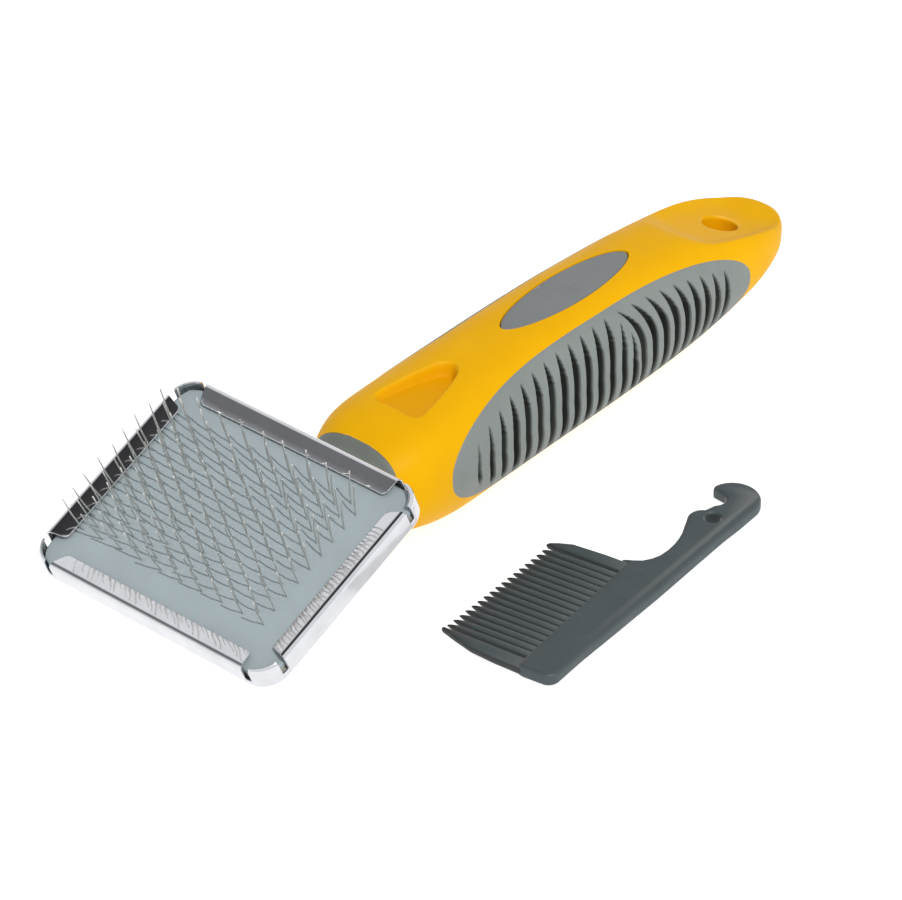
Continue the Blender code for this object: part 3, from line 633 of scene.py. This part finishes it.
def tube(path, radii, sides=8):
    """Points and faces of a closed round bar along a path of points."""
    path = np.asarray(path, float)
    angle = 2 * pi * np.arange(sides)[:, None] / sides
    rings = []
    for k, (centre, radius) in enumerate(zip(path, radii)):
        along = path[min(k + 1, len(path) - 1)] - path[max(k - 1, 0)]
        along /= np.linalg.norm(along)
        side = np.cross(along, (0.0, 1.0, 0.0) if abs(along[1]) < 0.9 else (1.0, 0.0, 0.0))
        side /= np.linalg.norm(side)
        other = np.cross(along, side)
        rings.append(centre + radius * (np.cos(angle) * side + np.sin(angle) * other))
    return capped(rings)


def wire_path(x, y, random):
    """A wire from its rail through the rubber to its tip, cranked at the knee and a little bent by use."""
    stray = random.normal(0, WIRE_STRAY, 2)
    twist = random.normal(0, WIRE_TWIST)
    rise = random.normal(0, WIRE_RISE)
    path = []
    for z in (RAIL_Z, FACE_HIGH, 7.0, PIN_KNEE - 0.45, PIN_KNEE, PIN_KNEE + 0.45, 12.0, PIN_TIP + rise):
        above = max(0.0, z - FACE_HIGH)
        crank = soft_max(np.float64(z - PIN_KNEE), np.float64(0.0), 0.5)
        crank *= PIN_CRANK / (PIN_TIP - PIN_KNEE)
        along = x + x / PIN_SPLAY * above + stray[0] * above + crank
        across = y + (y - FIELD_MIDDLE_Y) / PIN_SPLAY * above + stray[1] * above + twist * crank
        path.append(np.array([along, across, z]))
    return path + [path[-1] + (path[-1] - path[-2]) * 0.04]


def make_pins():
    random = np.random.default_rng(SEED)
    radius = WIRE / 2
    for row in range(PIN_ROWS):
        x, pins = row_x(row), row_pins(row)
        rail = [(x, pins[0] - radius, RAIL_Z), (x, pins[-1] + radius, RAIL_Z)]
        pieces = [tube(rail, (radius, radius))]
        for y in pins:
            path = wire_path(x, y, random)
            radii = [radius] * (len(path) - 1) + [radius * 0.45]
            pieces.append(tube(path, radii))
        points, faces = merged(pieces)
        name = f"pin_row_{row + 1:02d}"
        obj = solid(f"{name}_wires", from_head(points), faces)
        finish_piece(obj, "brush", STEEL, [name], sharp=50)


# ---- neck


def mouth_lean(angle):
    """How far the handle's mouth reaches over the collar at a ring angle: nothing on top, most below."""
    return MOUTH_LEAN * (1 - np.sin(angle)) / 2


def collar_ring(x, grow, angles):
    """Section of the collar, which takes on the handle's own section where it enters the mouth."""
    half_width, top, bottom = between_stations(COLLAR_STATIONS, x)
    middle, half_height = (top + bottom) / 2, (top - bottom) / 2
    y = rounded(np.cos(angles), COLLAR_FULLNESS) * (half_width + grow)
    z = middle + rounded(np.sin(angles), COLLAR_FULLNESS) * (half_height + grow)
    ring = np.stack([np.full_like(y, x), y, z], 1)
    if x > CUFF_END - CUFF_BLEND:
        cuff = section(np.full_like(y, x), angles, False)
        core = np.array([x, 0.0, middle])
        share = np.where(x < CUFF_END + 0.05 - mouth_lean(angles), 1.012, 0.975)
        cuff = core + (cuff - core) * share[:, None]
        ring += (cuff - ring) * smoothstep((x - CUFF_END + CUFF_BLEND) / 4.2)
    return ring


def make_neck():
    """Spade plate and collar run into each other, as one soft-edged moulding."""
    angles = np.linspace(0, 2 * pi, COLLAR_SIDES, endpoint=False)
    xs = [*np.linspace(COLLAR_STATIONS[0][0], CUFF_END, 60), CUFF_END + 0.5, CUFF_END + 1.3]
    neck = solid("neck_moulding", *capped([collar_ring(x, 0.05, angles) for x in xs]))
    ends = ((PLATE_REAR, 1, 0), (PLATE_FRONT, 1, 90), (PLATE_FRONT, -1, 180), (PLATE_REAR, -1, 270))
    outline = []
    for x, side, start in ends:
        outline += arc((x, side * PLATE_HALF), PLATE_CORNER, start, start + 90, 10)
    levels = ((-4.5, 0.92), (-4.2, 0.97), (-3.4, 1.0), (PLATE_TOP, 1.0))
    middle = (PLATE_FRONT + PLATE_REAR) / 2
    rings = [[((x - middle) * k + middle, y * k, z) for x, y in outline] for z, k in levels]
    plate, faces = capped(rings)
    add_mesh(neck, solid("plate", from_head(plate), faces))
    neck.modifiers.new("even", "REMESH").voxel_size = 0.4 * MM
    smooth = neck.modifiers.new("smooth", "SMOOTH")
    smooth.factor, smooth.iterations = 0.5, 6
    settle(neck)
    normal, origin = Vector(HEAD_Z), Vector((HEAD_CENTRE + SHIFT) * MM)
    along = Vector(HEAD_X)
    for vert in neck.data.vertices:
        offset = vert.co - origin
        height, run = offset.dot(normal), offset.dot(along)
        if run < (TRAY_LENGTH / 2 + 0.8) * MM and height > PLATE_TOP * MM:
            vert.co -= normal * (height - PLATE_TOP * MM)
    return finish_piece(neck, "brush", NECK, ["neck"], sharp=60)


# ---- handle


def handle_profile():
    """Half width, top and bottom along the handle, evened out away from the two ends."""
    xs = np.arange(HANDLE_STATIONS[0][0], TAIL_X + 0.01, PROFILE_STEP)
    values = np.array([between_stations(HANDLE_STATIONS, x) for x in xs])
    taps = np.arange(-40, 41)
    kernel = np.exp(-((taps * PROFILE_STEP / PROFILE_BLUR) ** 2) / 2)
    kernel /= kernel.sum()
    weight = smoothstep((xs - 47) / 8) * smoothstep((TAIL_TURN - xs) / 8)
    for column in range(3):
        raw = values[:, column]
        even = np.convolve(np.pad(raw, 40, mode="edge"), kernel, mode="valid")
        values[:, column] = raw + (even - raw) * weight
    return xs, values


PROFILE_X, PROFILE = handle_profile()


def scoop(x, y):
    """Height of the dished slope that cuts the top of the tail."""
    left = np.clip(SCOOP_END - x, 0, None) / (SCOOP_END - SCOOP_START)
    height = np.where(
        x <= SCOOP_START,
        SCOOP_TOP + (SCOOP_START - x),
        SCOOP_LOW + (SCOOP_TOP - SCOOP_LOW) * np.minimum(left, 1) ** SCOOP_POWER,
    )
    fade = smoothstep((x - SCOOP_START) / SCOOP_FADE) * smoothstep((SCOOP_END - 2 - x) / SCOOP_FADE)
    dish = fade * np.clip(1 - (y / 10.5) ** 4, 0, 1)
    return height - SCOOP_DISH * dish


def pocket_depth(x, y):
    """0 outside the thumb pocket, 1 on its floor."""
    slope = (POCKET_HALF - POCKET_NARROW) / (POCKET_REAR - POCKET_FRONT)
    side = (POCKET_HALF - np.abs(y) - (x - POCKET_FRONT) * slope) / np.hypot(1, slope)
    bowed = side + POCKET_BOW * np.clip(1 - ((x - POCKET_BOW_X) / POCKET_BOW_REACH) ** 2, 0, 1)
    inside = soft_min(soft_min(x - POCKET_FRONT, POCKET_REAR - x, 1.0), bowed, 3.2)
    return smoothstep(inside / POCKET_WALL)


def section(x, angle, features=True):
    """Points of the handle's outer surface at x and ring angle (0 at +y, 90 degrees on top)."""
    x, angle = np.broadcast_arrays(np.asarray(x, float), np.asarray(angle, float))
    half, top, bottom = (np.interp(x, PROFILE_X, PROFILE[:, k]) for k in range(3))
    middle = (top + bottom) / 2
    s = np.sin(angle)
    power = np.where(s >= 0, UPPER_FULLNESS, LOWER_FULLNESS)
    y = rounded(np.cos(angle), power) * half
    rise = np.abs(s) ** (2 / power)
    upper = middle + rise * (top - middle)
    lower = soft_max(middle - rise * (middle - bottom) * BELLY_CUT, bottom, 0.5)
    if features:
        upper = np.where(x > SCOOP_START - 9, soft_min(upper, scoop(x, y), 0.7), upper)
        upper = upper + (np.minimum(upper, POCKET_FLOOR) - upper) * pocket_depth(x, y)
    return np.stack([x, y, np.where(s >= 0, upper, lower)], -1)


def section_normal(x, angle):
    """Outward normals of the plain surface."""
    dx = section(x + 0.15, angle, False) - section(x - 0.15, angle, False)
    da = section(x, angle + 0.01, False) - section(x, angle - 0.01, False)
    normal = np.cross(da, dx)
    normal /= np.linalg.norm(normal, axis=-1, keepdims=True)
    return normal


def ring_angle(x, z):
    """Ring angle on the left side (from -90 to 90 degrees) where the surface at x has height z."""
    top, bottom = (np.interp(x, PROFILE_X, PROFILE[:, k]) for k in (1, 2))
    middle = (top + bottom) / 2
    up = np.clip((z - middle) / (top - middle), 0, 1) ** (UPPER_FULLNESS / 2)
    down = np.clip((middle - z) / ((middle - bottom) * BELLY_CUT), 0, 1) ** (LOWER_FULLNESS / 2)
    return np.where(z >= middle, np.arcsin(up), -np.arcsin(down))


def grip_inside(x, z):
    """Distance inside the grip's outline in the side view, negative outside."""
    a, b = np.abs(x - GRIP_X) / GRIP_LENGTH, np.abs(z - GRIP_Z) / GRIP_HEIGHT
    value = a**GRIP_POWER + b**GRIP_POWER
    slope = np.hypot(
        GRIP_POWER * a ** (GRIP_POWER - 1) / GRIP_LENGTH, GRIP_POWER * b ** (GRIP_POWER - 1) / GRIP_HEIGHT
    )
    return (1 - value) / np.maximum(slope, 0.02)


def side_recess(inside):
    """Depth of the handle's recess under a grip, from the distance inside the grip's outline."""
    return RECESS_DEPTH * smoothstep((inside - RECESS_RIM) / RECESS_WALL)


def surface_height(x, y, side):
    """Height of the handle's upper (side 1) or lower (side -1) surface at (x, y)."""
    half = np.interp(x, PROFILE_X, PROFILE[:, 0])
    power = UPPER_FULLNESS if side > 0 else LOWER_FULLNESS
    c = np.clip(np.abs(y) / half, 0, 1) ** (power / 2)
    return section(x, side * np.arccos(c))[..., 2]


def cut(obj, outline, levels):
    """Cut a hollow whose rings are levels (offset, rise, side): outline(offset) gives (x, y), and the
    height is rise over the surface on that side, or over the floor where side is 0."""
    rings = []
    for offset, rise, side in levels:
        x, y = outline(offset)
        z = surface_height(x, y, side) + rise if side else np.full_like(x, rise)
        rings.append(np.stack([x, y, z], 1))
    subtract(obj, solid("cutter", *capped(rings)))


def badge_outline(offset):
    angle = np.linspace(0, 2 * pi, 120, endpoint=False)
    x = BADGE_X + rounded(np.cos(angle), BADGE_POWER) * (BADGE_LENGTH + offset)
    return x, rounded(np.sin(angle), BADGE_POWER) * (BADGE_WIDTH + offset)


def hole_outline(offset):
    angle = np.linspace(0, 2 * pi, 96, endpoint=False)
    return HOLE_X + (HOLE_RADIUS + offset) * np.cos(angle), (HOLE_RADIUS + offset) * np.sin(angle)


def ring_angles(count):
    """Ring angles that space the points evenly round a section in the middle of the handle."""
    fine = np.linspace(0, 2 * pi, 4001)
    points = section(np.full_like(fine, 95.0), fine, False)
    run = np.concatenate([[0], np.cumsum(np.linalg.norm(np.diff(points, axis=0), axis=1))])
    return np.interp(np.linspace(0, run[-1], count, endpoint=False), run, fine)


def make_handle():
    """One loft with a leaning mouth, side recesses and thumb pocket; badge recess and hole cut into it."""
    angles = ring_angles(HANDLE_SIDES)
    tail = TAIL_TURN + (TAIL_X - TAIL_TURN) * np.sin(np.linspace(0, pi / 2, 30))
    runs = ((CUFF_END, 48.9, 0.3), (49, 73, 0.3), (73, 139, 0.7), (139, TAIL_TURN, 0.45))
    xs = np.concatenate([np.arange(*run) for run in runs] + [tail])
    x, angle = np.meshgrid(xs, angles, indexing="ij")
    x = x - mouth_lean(angle) * (1 - smoothstep((x - CUFF_END) / MOUTH_RUN))
    points = section(x, angle)
    normal = section_normal(x, angle)
    depth = side_recess(grip_inside(points[..., 0], points[..., 2]))
    points = points - normal * depth[..., None]
    count = len(angles)
    first, core = points[0], np.array([CUFF_END, 0.0, 15.0])
    mouth = []
    for share, forward in ((0.3, 0.12), (0.975, 0.12), (0.988, 0.05)):
        ring = core + (first - core) * share
        ring[:, 0] = first[:, 0] + forward
        mouth.append(ring)
    rows = mouth + list(points)
    stack = np.concatenate(rows)
    faces = grid_faces(len(rows), count, wrap=True)
    ends = np.array([stack[:count].mean(0), stack[-count:].mean(0) + (0.04, 0, 0)])
    faces += fan(0, count, len(stack)) + fan(len(stack) - count, count, len(stack) + 1)
    handle = solid("handle_shell", np.concatenate([stack, ends]), faces)
    edge = ((0.75, 0.5, 1), (0.30, 0.0, 1), (0.20, -0.14, 1), (0.16, -0.4, 1))
    cut(handle, badge_outline, [(0.75, 36.0, 0), *edge, (0.16, BADGE_FLOOR - 0.4, 0)])
    upper = [(offset, rise, 1) for offset, rise in HOLE_EDGE]
    lower = [(offset, -rise, -1) for offset, rise in reversed(HOLE_EDGE)]
    cut(handle, hole_outline, upper + lower)
    # Pocket depth on the upper side, which the yellow material turns into painted shade.
    points = np.array([vert.co for vert in handle.data.vertices]) / MM - SHIFT
    above = smoothstep((points[:, 2] - 20.0) / 2.0) * (points[:, 0] < 75)
    set_shade_depth(handle, pocket_depth(points[:, 0], points[:, 1]) * above)
    return finish_piece(handle, "brush", YELLOW, ["handle_body"], sharp=50)


def make_badge():
    """Blank oval plate, let in a little below the surface with a rounded edge."""
    rings = [1.0, 0.995, 0.985, 0.965, 0.93] + [0.85 - 0.085 * k for k in range(10)]
    drops = [0.42, 0.30, 0.24, 0.21, 0.20] + [0.20] * 10
    edge_x, edge_y = badge_outline(-0.05)
    parts = []
    for share, drop in zip(rings, drops):
        x, y = BADGE_X + (edge_x - BADGE_X) * share, edge_y * share
        parts.append(np.stack([x, y, surface_height(x, y, 1) - drop], 1))
    base = parts[0].copy()
    base[:, 2] = BADGE_FLOOR + 0.3
    parts.insert(0, base)
    count = len(base)
    faces = grid_faces(len(parts), count, wrap=True)
    stack = np.concatenate(parts + [np.array([[BADGE_X, 0.0, 0.0]])])
    stack[-1, 2] = stack[-2, 2]
    faces += fan((len(parts) - 1) * count, count, len(stack) - 1) + [tuple(range(count))]
    badge = solid("badge_plate", stack, faces)
    return finish_piece(badge, "brush", BADGE, ["badge"], sharp=40)


# ---- grips


def grip_reach(x):
    """Half height of the grip's outline at x in the side view."""
    share = np.clip(np.abs((x - GRIP_X) / GRIP_LENGTH), 0, 1)
    return GRIP_HEIGHT * (1 - share**GRIP_POWER) ** (1 / GRIP_POWER)


def groove_lean(x, degrees):
    """How far the line through x at mid height has moved along the handle at a ring angle."""
    up, down = np.clip(degrees / 42, 0, 1.3), np.clip(-degrees / 30, 0, 1.5)
    rear = smoothstep((x - 109.5) / 8.5)
    rear_up = -np.clip(5.8 - 0.125 * (x - 117), 1.0, 6.0)
    above = 0.5 * (1 - rear) + rear_up * rear
    below = 1.9 * (1 - rear) + np.clip(1.9 - 0.075 * (x - 117), -0.6, 2.0) * rear
    ends = smoothstep((GRIP_LENGTH - np.abs(x - GRIP_X)) / 7)
    return (above * up**1.4 + below * down**1.2) * ends


def groove_depth(line, degrees, low_degrees):
    """Depth below the grip's surface on a line (its x at mid height) at a ring angle in degrees."""
    total = np.zeros_like(line)
    for middle in FRONT_GROOVES + [SPLIT_GROOVE] + REAR_GROOVES:
        reach = 37.0 if middle < FULL_GROOVE else 50.0
        top = GROOVE_TOP - 25 * abs((middle - FULL_GROOVE) / reach) ** 3
        size = float(np.clip(0.26 + 0.06 * (middle - 60), 0, 1))
        depth = FRONT_DEPTH * size
        if middle == SPLIT_GROOVE:
            top, size = 19.0, 0.8
        if middle == FRONT_GROOVES[-1]:
            top = 33.0
        if middle > 116:
            depth = REAR_DEPTH - 0.018 * (middle - 117)
        bottom = low_degrees + 3 + 9 * np.exp(-(middle - 60) / 4)
        opening = np.clip(np.minimum((top - degrees) / 26, (degrees - bottom) / 7), 0, 1)
        width = (1.5 + 0.95 * size) * (0.06 + 0.94 * opening**0.7)
        t = (line - middle) / width + 0.5
        shape = smoothstep(t / 0.40) * (1 - smoothstep((t - 0.89) / 0.11))
        total = np.maximum(total, shape * depth * opening**0.45 * (opening > 0))
    return total


def end_of_line(line, sign):
    """Ring angle where a line meets the grip's upper (1) or lower (-1) outline."""
    x = line.copy()
    for _ in range(12):
        angle = ring_angle(x, GRIP_Z + sign * grip_reach(x))
        x = line + groove_lean(line, np.degrees(angle))
    return angle


def make_grip(side, name):
    """Rubber pad that follows the handle, with a rounded border and grooves cut across it, and painted shade
    deep in the grooves.
    """
    columns, rows = GRIP_COLUMNS, GRIP_ROWS
    s = np.linspace(-1, 1, columns)
    lines = GRIP_X + (GRIP_LENGTH - 0.01) * (0.6 * s + 0.4 * np.sin(s * pi / 2))
    low, high = end_of_line(lines, -1), end_of_line(lines, 1)
    fine = np.linspace(0, 1, 120)
    share = np.linspace(0, 1, rows)
    trial = low[:, None] + (high - low)[:, None] * fine
    track = section(lines[:, None] + groove_lean(lines[:, None], np.degrees(trial)), trial, False)
    steps = np.linalg.norm(np.diff(track, axis=1), axis=2)
    run = np.concatenate([np.zeros((columns, 1)), np.cumsum(steps, axis=1)], axis=1)
    angle = np.stack([np.interp(share * run[i, -1], run[i], trial[i]) for i in range(columns)])
    line = np.repeat(lines[:, None], rows, axis=1)
    x = line + groove_lean(line, np.degrees(angle))
    base = section(x, angle, False)
    normal = section_normal(x, angle)
    inside = np.clip(grip_inside(x, base[..., 2]), 0, None)
    crown = 0.08 * smoothstep(inside / 0.55) - 0.15 * (1 - smoothstep(inside / 0.5))
    low_degrees = np.degrees(ring_angle(line, GRIP_Z - grip_reach(line)))
    depth = groove_depth(line, np.degrees(angle), low_degrees)
    depth = np.minimum(depth, np.clip(side_recess(inside) - 0.45, 0, None))
    outer = base + normal * (crown - depth)[..., None]
    keep = [0, 6, rows // 3, rows // 2, 2 * rows // 3, rows - 7, rows - 1]
    sunk = 0.6 + 3.0 * smoothstep(inside[:, keep] / 2.0)
    inner = base[:, keep] - normal[:, keep] * sunk[..., None]
    points = np.concatenate([outer.reshape(-1, 3), inner.reshape(-1, 3)])
    start, wide = columns * rows, len(keep)
    faces = grid_faces(columns, rows) + grid_faces(columns, wide, start)
    for c in range(columns - 1):
        near, far = start + c * wide, start + (c + 1) * wide
        faces.append((c * rows, (c + 1) * rows, far, near))
        faces.append((c * rows + rows - 1, (c + 1) * rows + rows - 1, far + wide - 1, near + wide - 1))
    for c in (0, columns - 1):
        rim = [c * rows + r for r in range(rows)]
        faces.append(tuple(rim + [start + c * wide + r for r in range(wide - 1, -1, -1)]))
    points[:, 1] *= side
    grip = solid(f"grip_{name}_ribbed", points, faces)
    # Groove depth, which the grip material turns into painted shade.
    values = np.zeros(len(points))
    values[:start] = depth.reshape(-1) / FRONT_DEPTH
    set_shade_depth(grip, values)
    return finish_piece(grip, "brush", GRIP, [f"grip_{name}"], sharp=75)


# ---- comb


def comb_body_outline():
    """Back, finger neck and hook, without the teeth."""
    tooth_side = [(-3.1, -1.2), (-2.9, 0.4), (39.4, 0.5), (40.1, 2.6)]
    neck = [(41.3, 0.0), (42.3, -1.6), (43.9, -2.8), (45.8, -3.6), (48.4, -4.0), (51.0, -4.0)]
    neck += [(53.4, -3.7), (55.6, -3.2), (57.8, -2.4)]
    hook = arc((62.2, -4.4), 3.4, 120, 25, 10) + arc((70.0, -2.3), 2.7, 215, 335, 10)
    hook += [(73.0, -0.6), (73.7, 0.0)] + arc((72.4, -5.8), 5.9, 66, -88, 22)
    back = [(66.0, -11.4), (60.0, -10.9), (48.0, -10.45), (35.0, -10.0), (21.0, -9.2), (8.0, -8.4)]
    return tooth_side + neck + hook + back + arc((-0.4, -5.6), 2.6, 270, 180, 8)


def tooth(path, half_widths, half_heights, power=2.4, sides=16):
    """A tapering bar along path (p, q) in the comb's plane, with a full oval section."""
    angle = 2 * pi * np.arange(sides) / sides
    across, up = rounded(np.cos(angle), power), rounded(np.sin(angle), power)
    rings = []
    for (p, q), width, height in zip(path, half_widths, half_heights):
        middle = np.full(sides, COMB_THICKNESS / 2)
        rings.append(np.stack([p + across * width, np.full(sides, q), middle + up * height], 1))
    return capped(rings)


def comb_teeth():
    """All teeth as separate bars whose roots end inside the back."""
    bars = []
    shares = (0.0, 0.25, 0.5, 0.75, 0.9, 0.96, 1.0)
    for k in range(COMB_TEETH):
        middle, length = FIRST_TOOTH + TOOTH_PITCH * k, LONG_TOOTH - TOOTH_FALL * k / (COMB_TEETH - 1)
        path = [(middle, -TOOTH_ROOT + (length + TOOTH_ROOT) * t) for t in shares]
        widths = (0.80, 0.79, 0.77, 0.74, 0.60, 0.35, 0.12)
        bars.append(tooth(path, widths, (1.36, 1.30, 1.18, 1.02, 0.80, 0.52, 0.18)))
    first = [(-1.4, -1.2), (-1.3, 6.0), (-1.0, 11.8), (-0.25, 17.0), (0.3, 20.3), (0.38, 20.7)]
    last = [(38.6, -1.0), (38.55, 6.0), (38.3, 13.6), (37.7, 16.5), (37.3, 18.2), (37.2, 18.7)]
    first_widths, last_widths = (1.66, 1.64, 1.5, 0.87, 0.4, 0.16), (1.7, 1.72, 1.52, 1.02, 0.55, 0.2)
    for path, widths in ((first, first_widths), (last, last_widths)):
        bars.append(tooth(path, widths, (1.42, 1.32, 1.15, 0.86, 0.6, 0.3), 2.8, 20))
    points, faces = merged(bars)
    return solid("teeth", from_comb(points), faces)


def make_comb():
    """Rounded back with neck, hook and bore, and the teeth; painted shade darkens between the teeth and in
    the bore.
    """
    outline = comb_body_outline()
    points, faces = capped([[(p, q, z) for p, q in outline] for z in (0.0, COMB_THICKNESS)])
    comb = solid("comb_moulding", from_comb(points), faces)
    bevel(comb, COMB_EDGE, 5, 50)
    angle = np.linspace(0, 2 * pi, BORE_SIDES, endpoint=False)
    rings = []
    for radius, z in BORE_PROFILE:
        p, q = COMB_BORE[0] + radius * np.cos(angle), COMB_BORE[1] + radius * np.sin(angle)
        rings.append(np.stack([p, q, np.full(BORE_SIDES, z)], 1))
    points, faces = capped(rings)
    subtract(comb, solid("comb_bore", from_comb(points), faces))
    body_count = len(comb.data.vertices)
    add_mesh(comb, comb_teeth())
    places = np.array([vert.co for vert in comb.data.vertices]) / MM
    heights = places[:, 2]
    # Painted shade mask: it rises low on the teeth and is full deep in the bore.
    hollow = 1 - smoothstep((heights - 1.9) / 0.55)
    hollow[:body_count] = 0.0
    centre = from_comb([(*COMB_BORE, 0.0)])[0] + SHIFT
    spread = np.hypot(places[:, 0] - centre[0], places[:, 1] - centre[1])
    hollow[(spread < 1.9) & (heights < 2.6)] = 1.0
    set_shade_depth(comb, hollow)
    comb.visible_glossy = False
    return finish_piece(comb, "comb", COMB, ["comb"], sharp=35)


# ---- stage, light and camera


def make_floor():
    """Pale matt floor that glows a little, so that it stays as light as the studio's walls."""
    made, tree, shader = new_material("studio_floor")
    tone = ramp(tree, noise(tree, 14.0, 2.0), ((0.3, (0.70, 0.70, 0.70)), (0.7, (0.73, 0.73, 0.73))))
    preset(tree, shader, Base_Color=tone, Roughness=0.9, Specular_IOR_Level=0.1)
    preset(tree, shader, Emission_Color=(1.0, 1.0, 1.0), Emission_Strength=FLOOR_GLOW)
    mesh = bpy.data.meshes.new("floor")
    steps = np.linspace(-4.0, 4.0, 9)
    points = [(x, y, -0.0002) for x in steps for y in steps]
    mesh.from_pydata(points, [], grid_faces(9, 9))
    mesh.materials.append(made)
    floor = new_object("floor", mesh)
    return floor


def patch(tree, direction, centre, low, high, level):
    """A darker round area of the studio's walls: 1 outside it, level in its middle."""
    dot = tree.nodes.new("ShaderNodeVectorMath")
    dot.operation = "DOT_PRODUCT"
    tree.links.new(direction, dot.inputs[0])
    dot.inputs[1].default_value = Vector(centre).normalized()
    return span(tree, dot.outputs["Value"], low, high, 1.0, level)


def make_world():
    """White studio walls, with a dark patch overhead and a grey one behind that only reflections see."""
    world = bpy.data.worlds.new("studio")
    bpy.context.scene.world = world
    world.use_nodes = True
    tree = world.node_tree
    place = tree.nodes.new("ShaderNodeTexCoord").outputs["Generated"]
    overhead = patch(tree, place, (0.05, 0.05, 1.0), 0.86, 0.955, 0.06)
    behind = patch(tree, place, (-0.40, 0.50, 0.76), 0.80, 0.98, 0.22)
    rays = tree.nodes.new("ShaderNodeLightPath")
    level = math_node(tree, "MULTIPLY", overhead, behind)
    level = math_node(tree, "MAXIMUM", level, rays.outputs["Is Diffuse Ray"])
    tone = mix_colours(tree, level, (0.0, 0.0, 0.0), WALLS)
    strength = span(tree, rays.outputs["Is Diffuse Ray"], 0.0, 1.0, 1.0, WALLS_ON_DIFFUSE)
    preset(tree, tree.nodes["Background"], Color=tone, Strength=strength)


def make_lights(floor):
    """One key light that leaves the floor out, so that no cast shadow shows on it."""
    key = bpy.data.lights.new("key", "SUN")
    key.energy = KEY_ENERGY
    key.angle = KEY_SIZE
    key.color = (1.0, 0.985, 0.96)
    key.specular_factor = 0.5
    lamp = new_object("key", key)
    lamp.rotation_euler = Vector(KEY_FROM).to_track_quat("Z", "Y").to_euler()
    left_out = bpy.data.collections.new("key_leaves_out")
    left_out.objects.link(floor)
    lamp.light_linking.receiver_collection = left_out
    left_out.collection_objects[0].light_linking.link_state = "EXCLUDE"


def make_camera():
    """Camera at the photograph's viewing angle."""
    lens = bpy.data.cameras.new("camera")
    lens.sensor_fit, lens.sensor_width, lens.lens = "HORIZONTAL", 36.0, VIEW_LENS
    lens.shift_x, lens.shift_y = VIEW_SHIFT
    camera = new_object("camera", lens)
    level = cos(VIEW_ELEVATION)
    back = Vector((sin(VIEW_AZIMUTH) * level, -cos(VIEW_AZIMUTH) * level, sin(VIEW_ELEVATION)))
    target = Vector((np.array(VIEW_TARGET) + SHIFT) * MM)
    camera.location = target + back * VIEW_DISTANCE
    camera.rotation_euler = back.to_track_quat("Z", "Y").to_euler()
    bpy.context.scene.camera = camera
    bpy.context.scene.view_settings.view_transform = "Standard"


tray_shell()
make_cushion()
make_pins()
for number in range(1, 5):
    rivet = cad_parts[f"rivet_{number}"]
    rivet.data.materials.clear()
    rivet.data.materials.append(RIVET)
make_neck()
make_handle()
make_badge()
make_grip(1, "left")
make_grip(-1, "right")
make_comb()
make_world()
make_lights(make_floor())
make_camera()
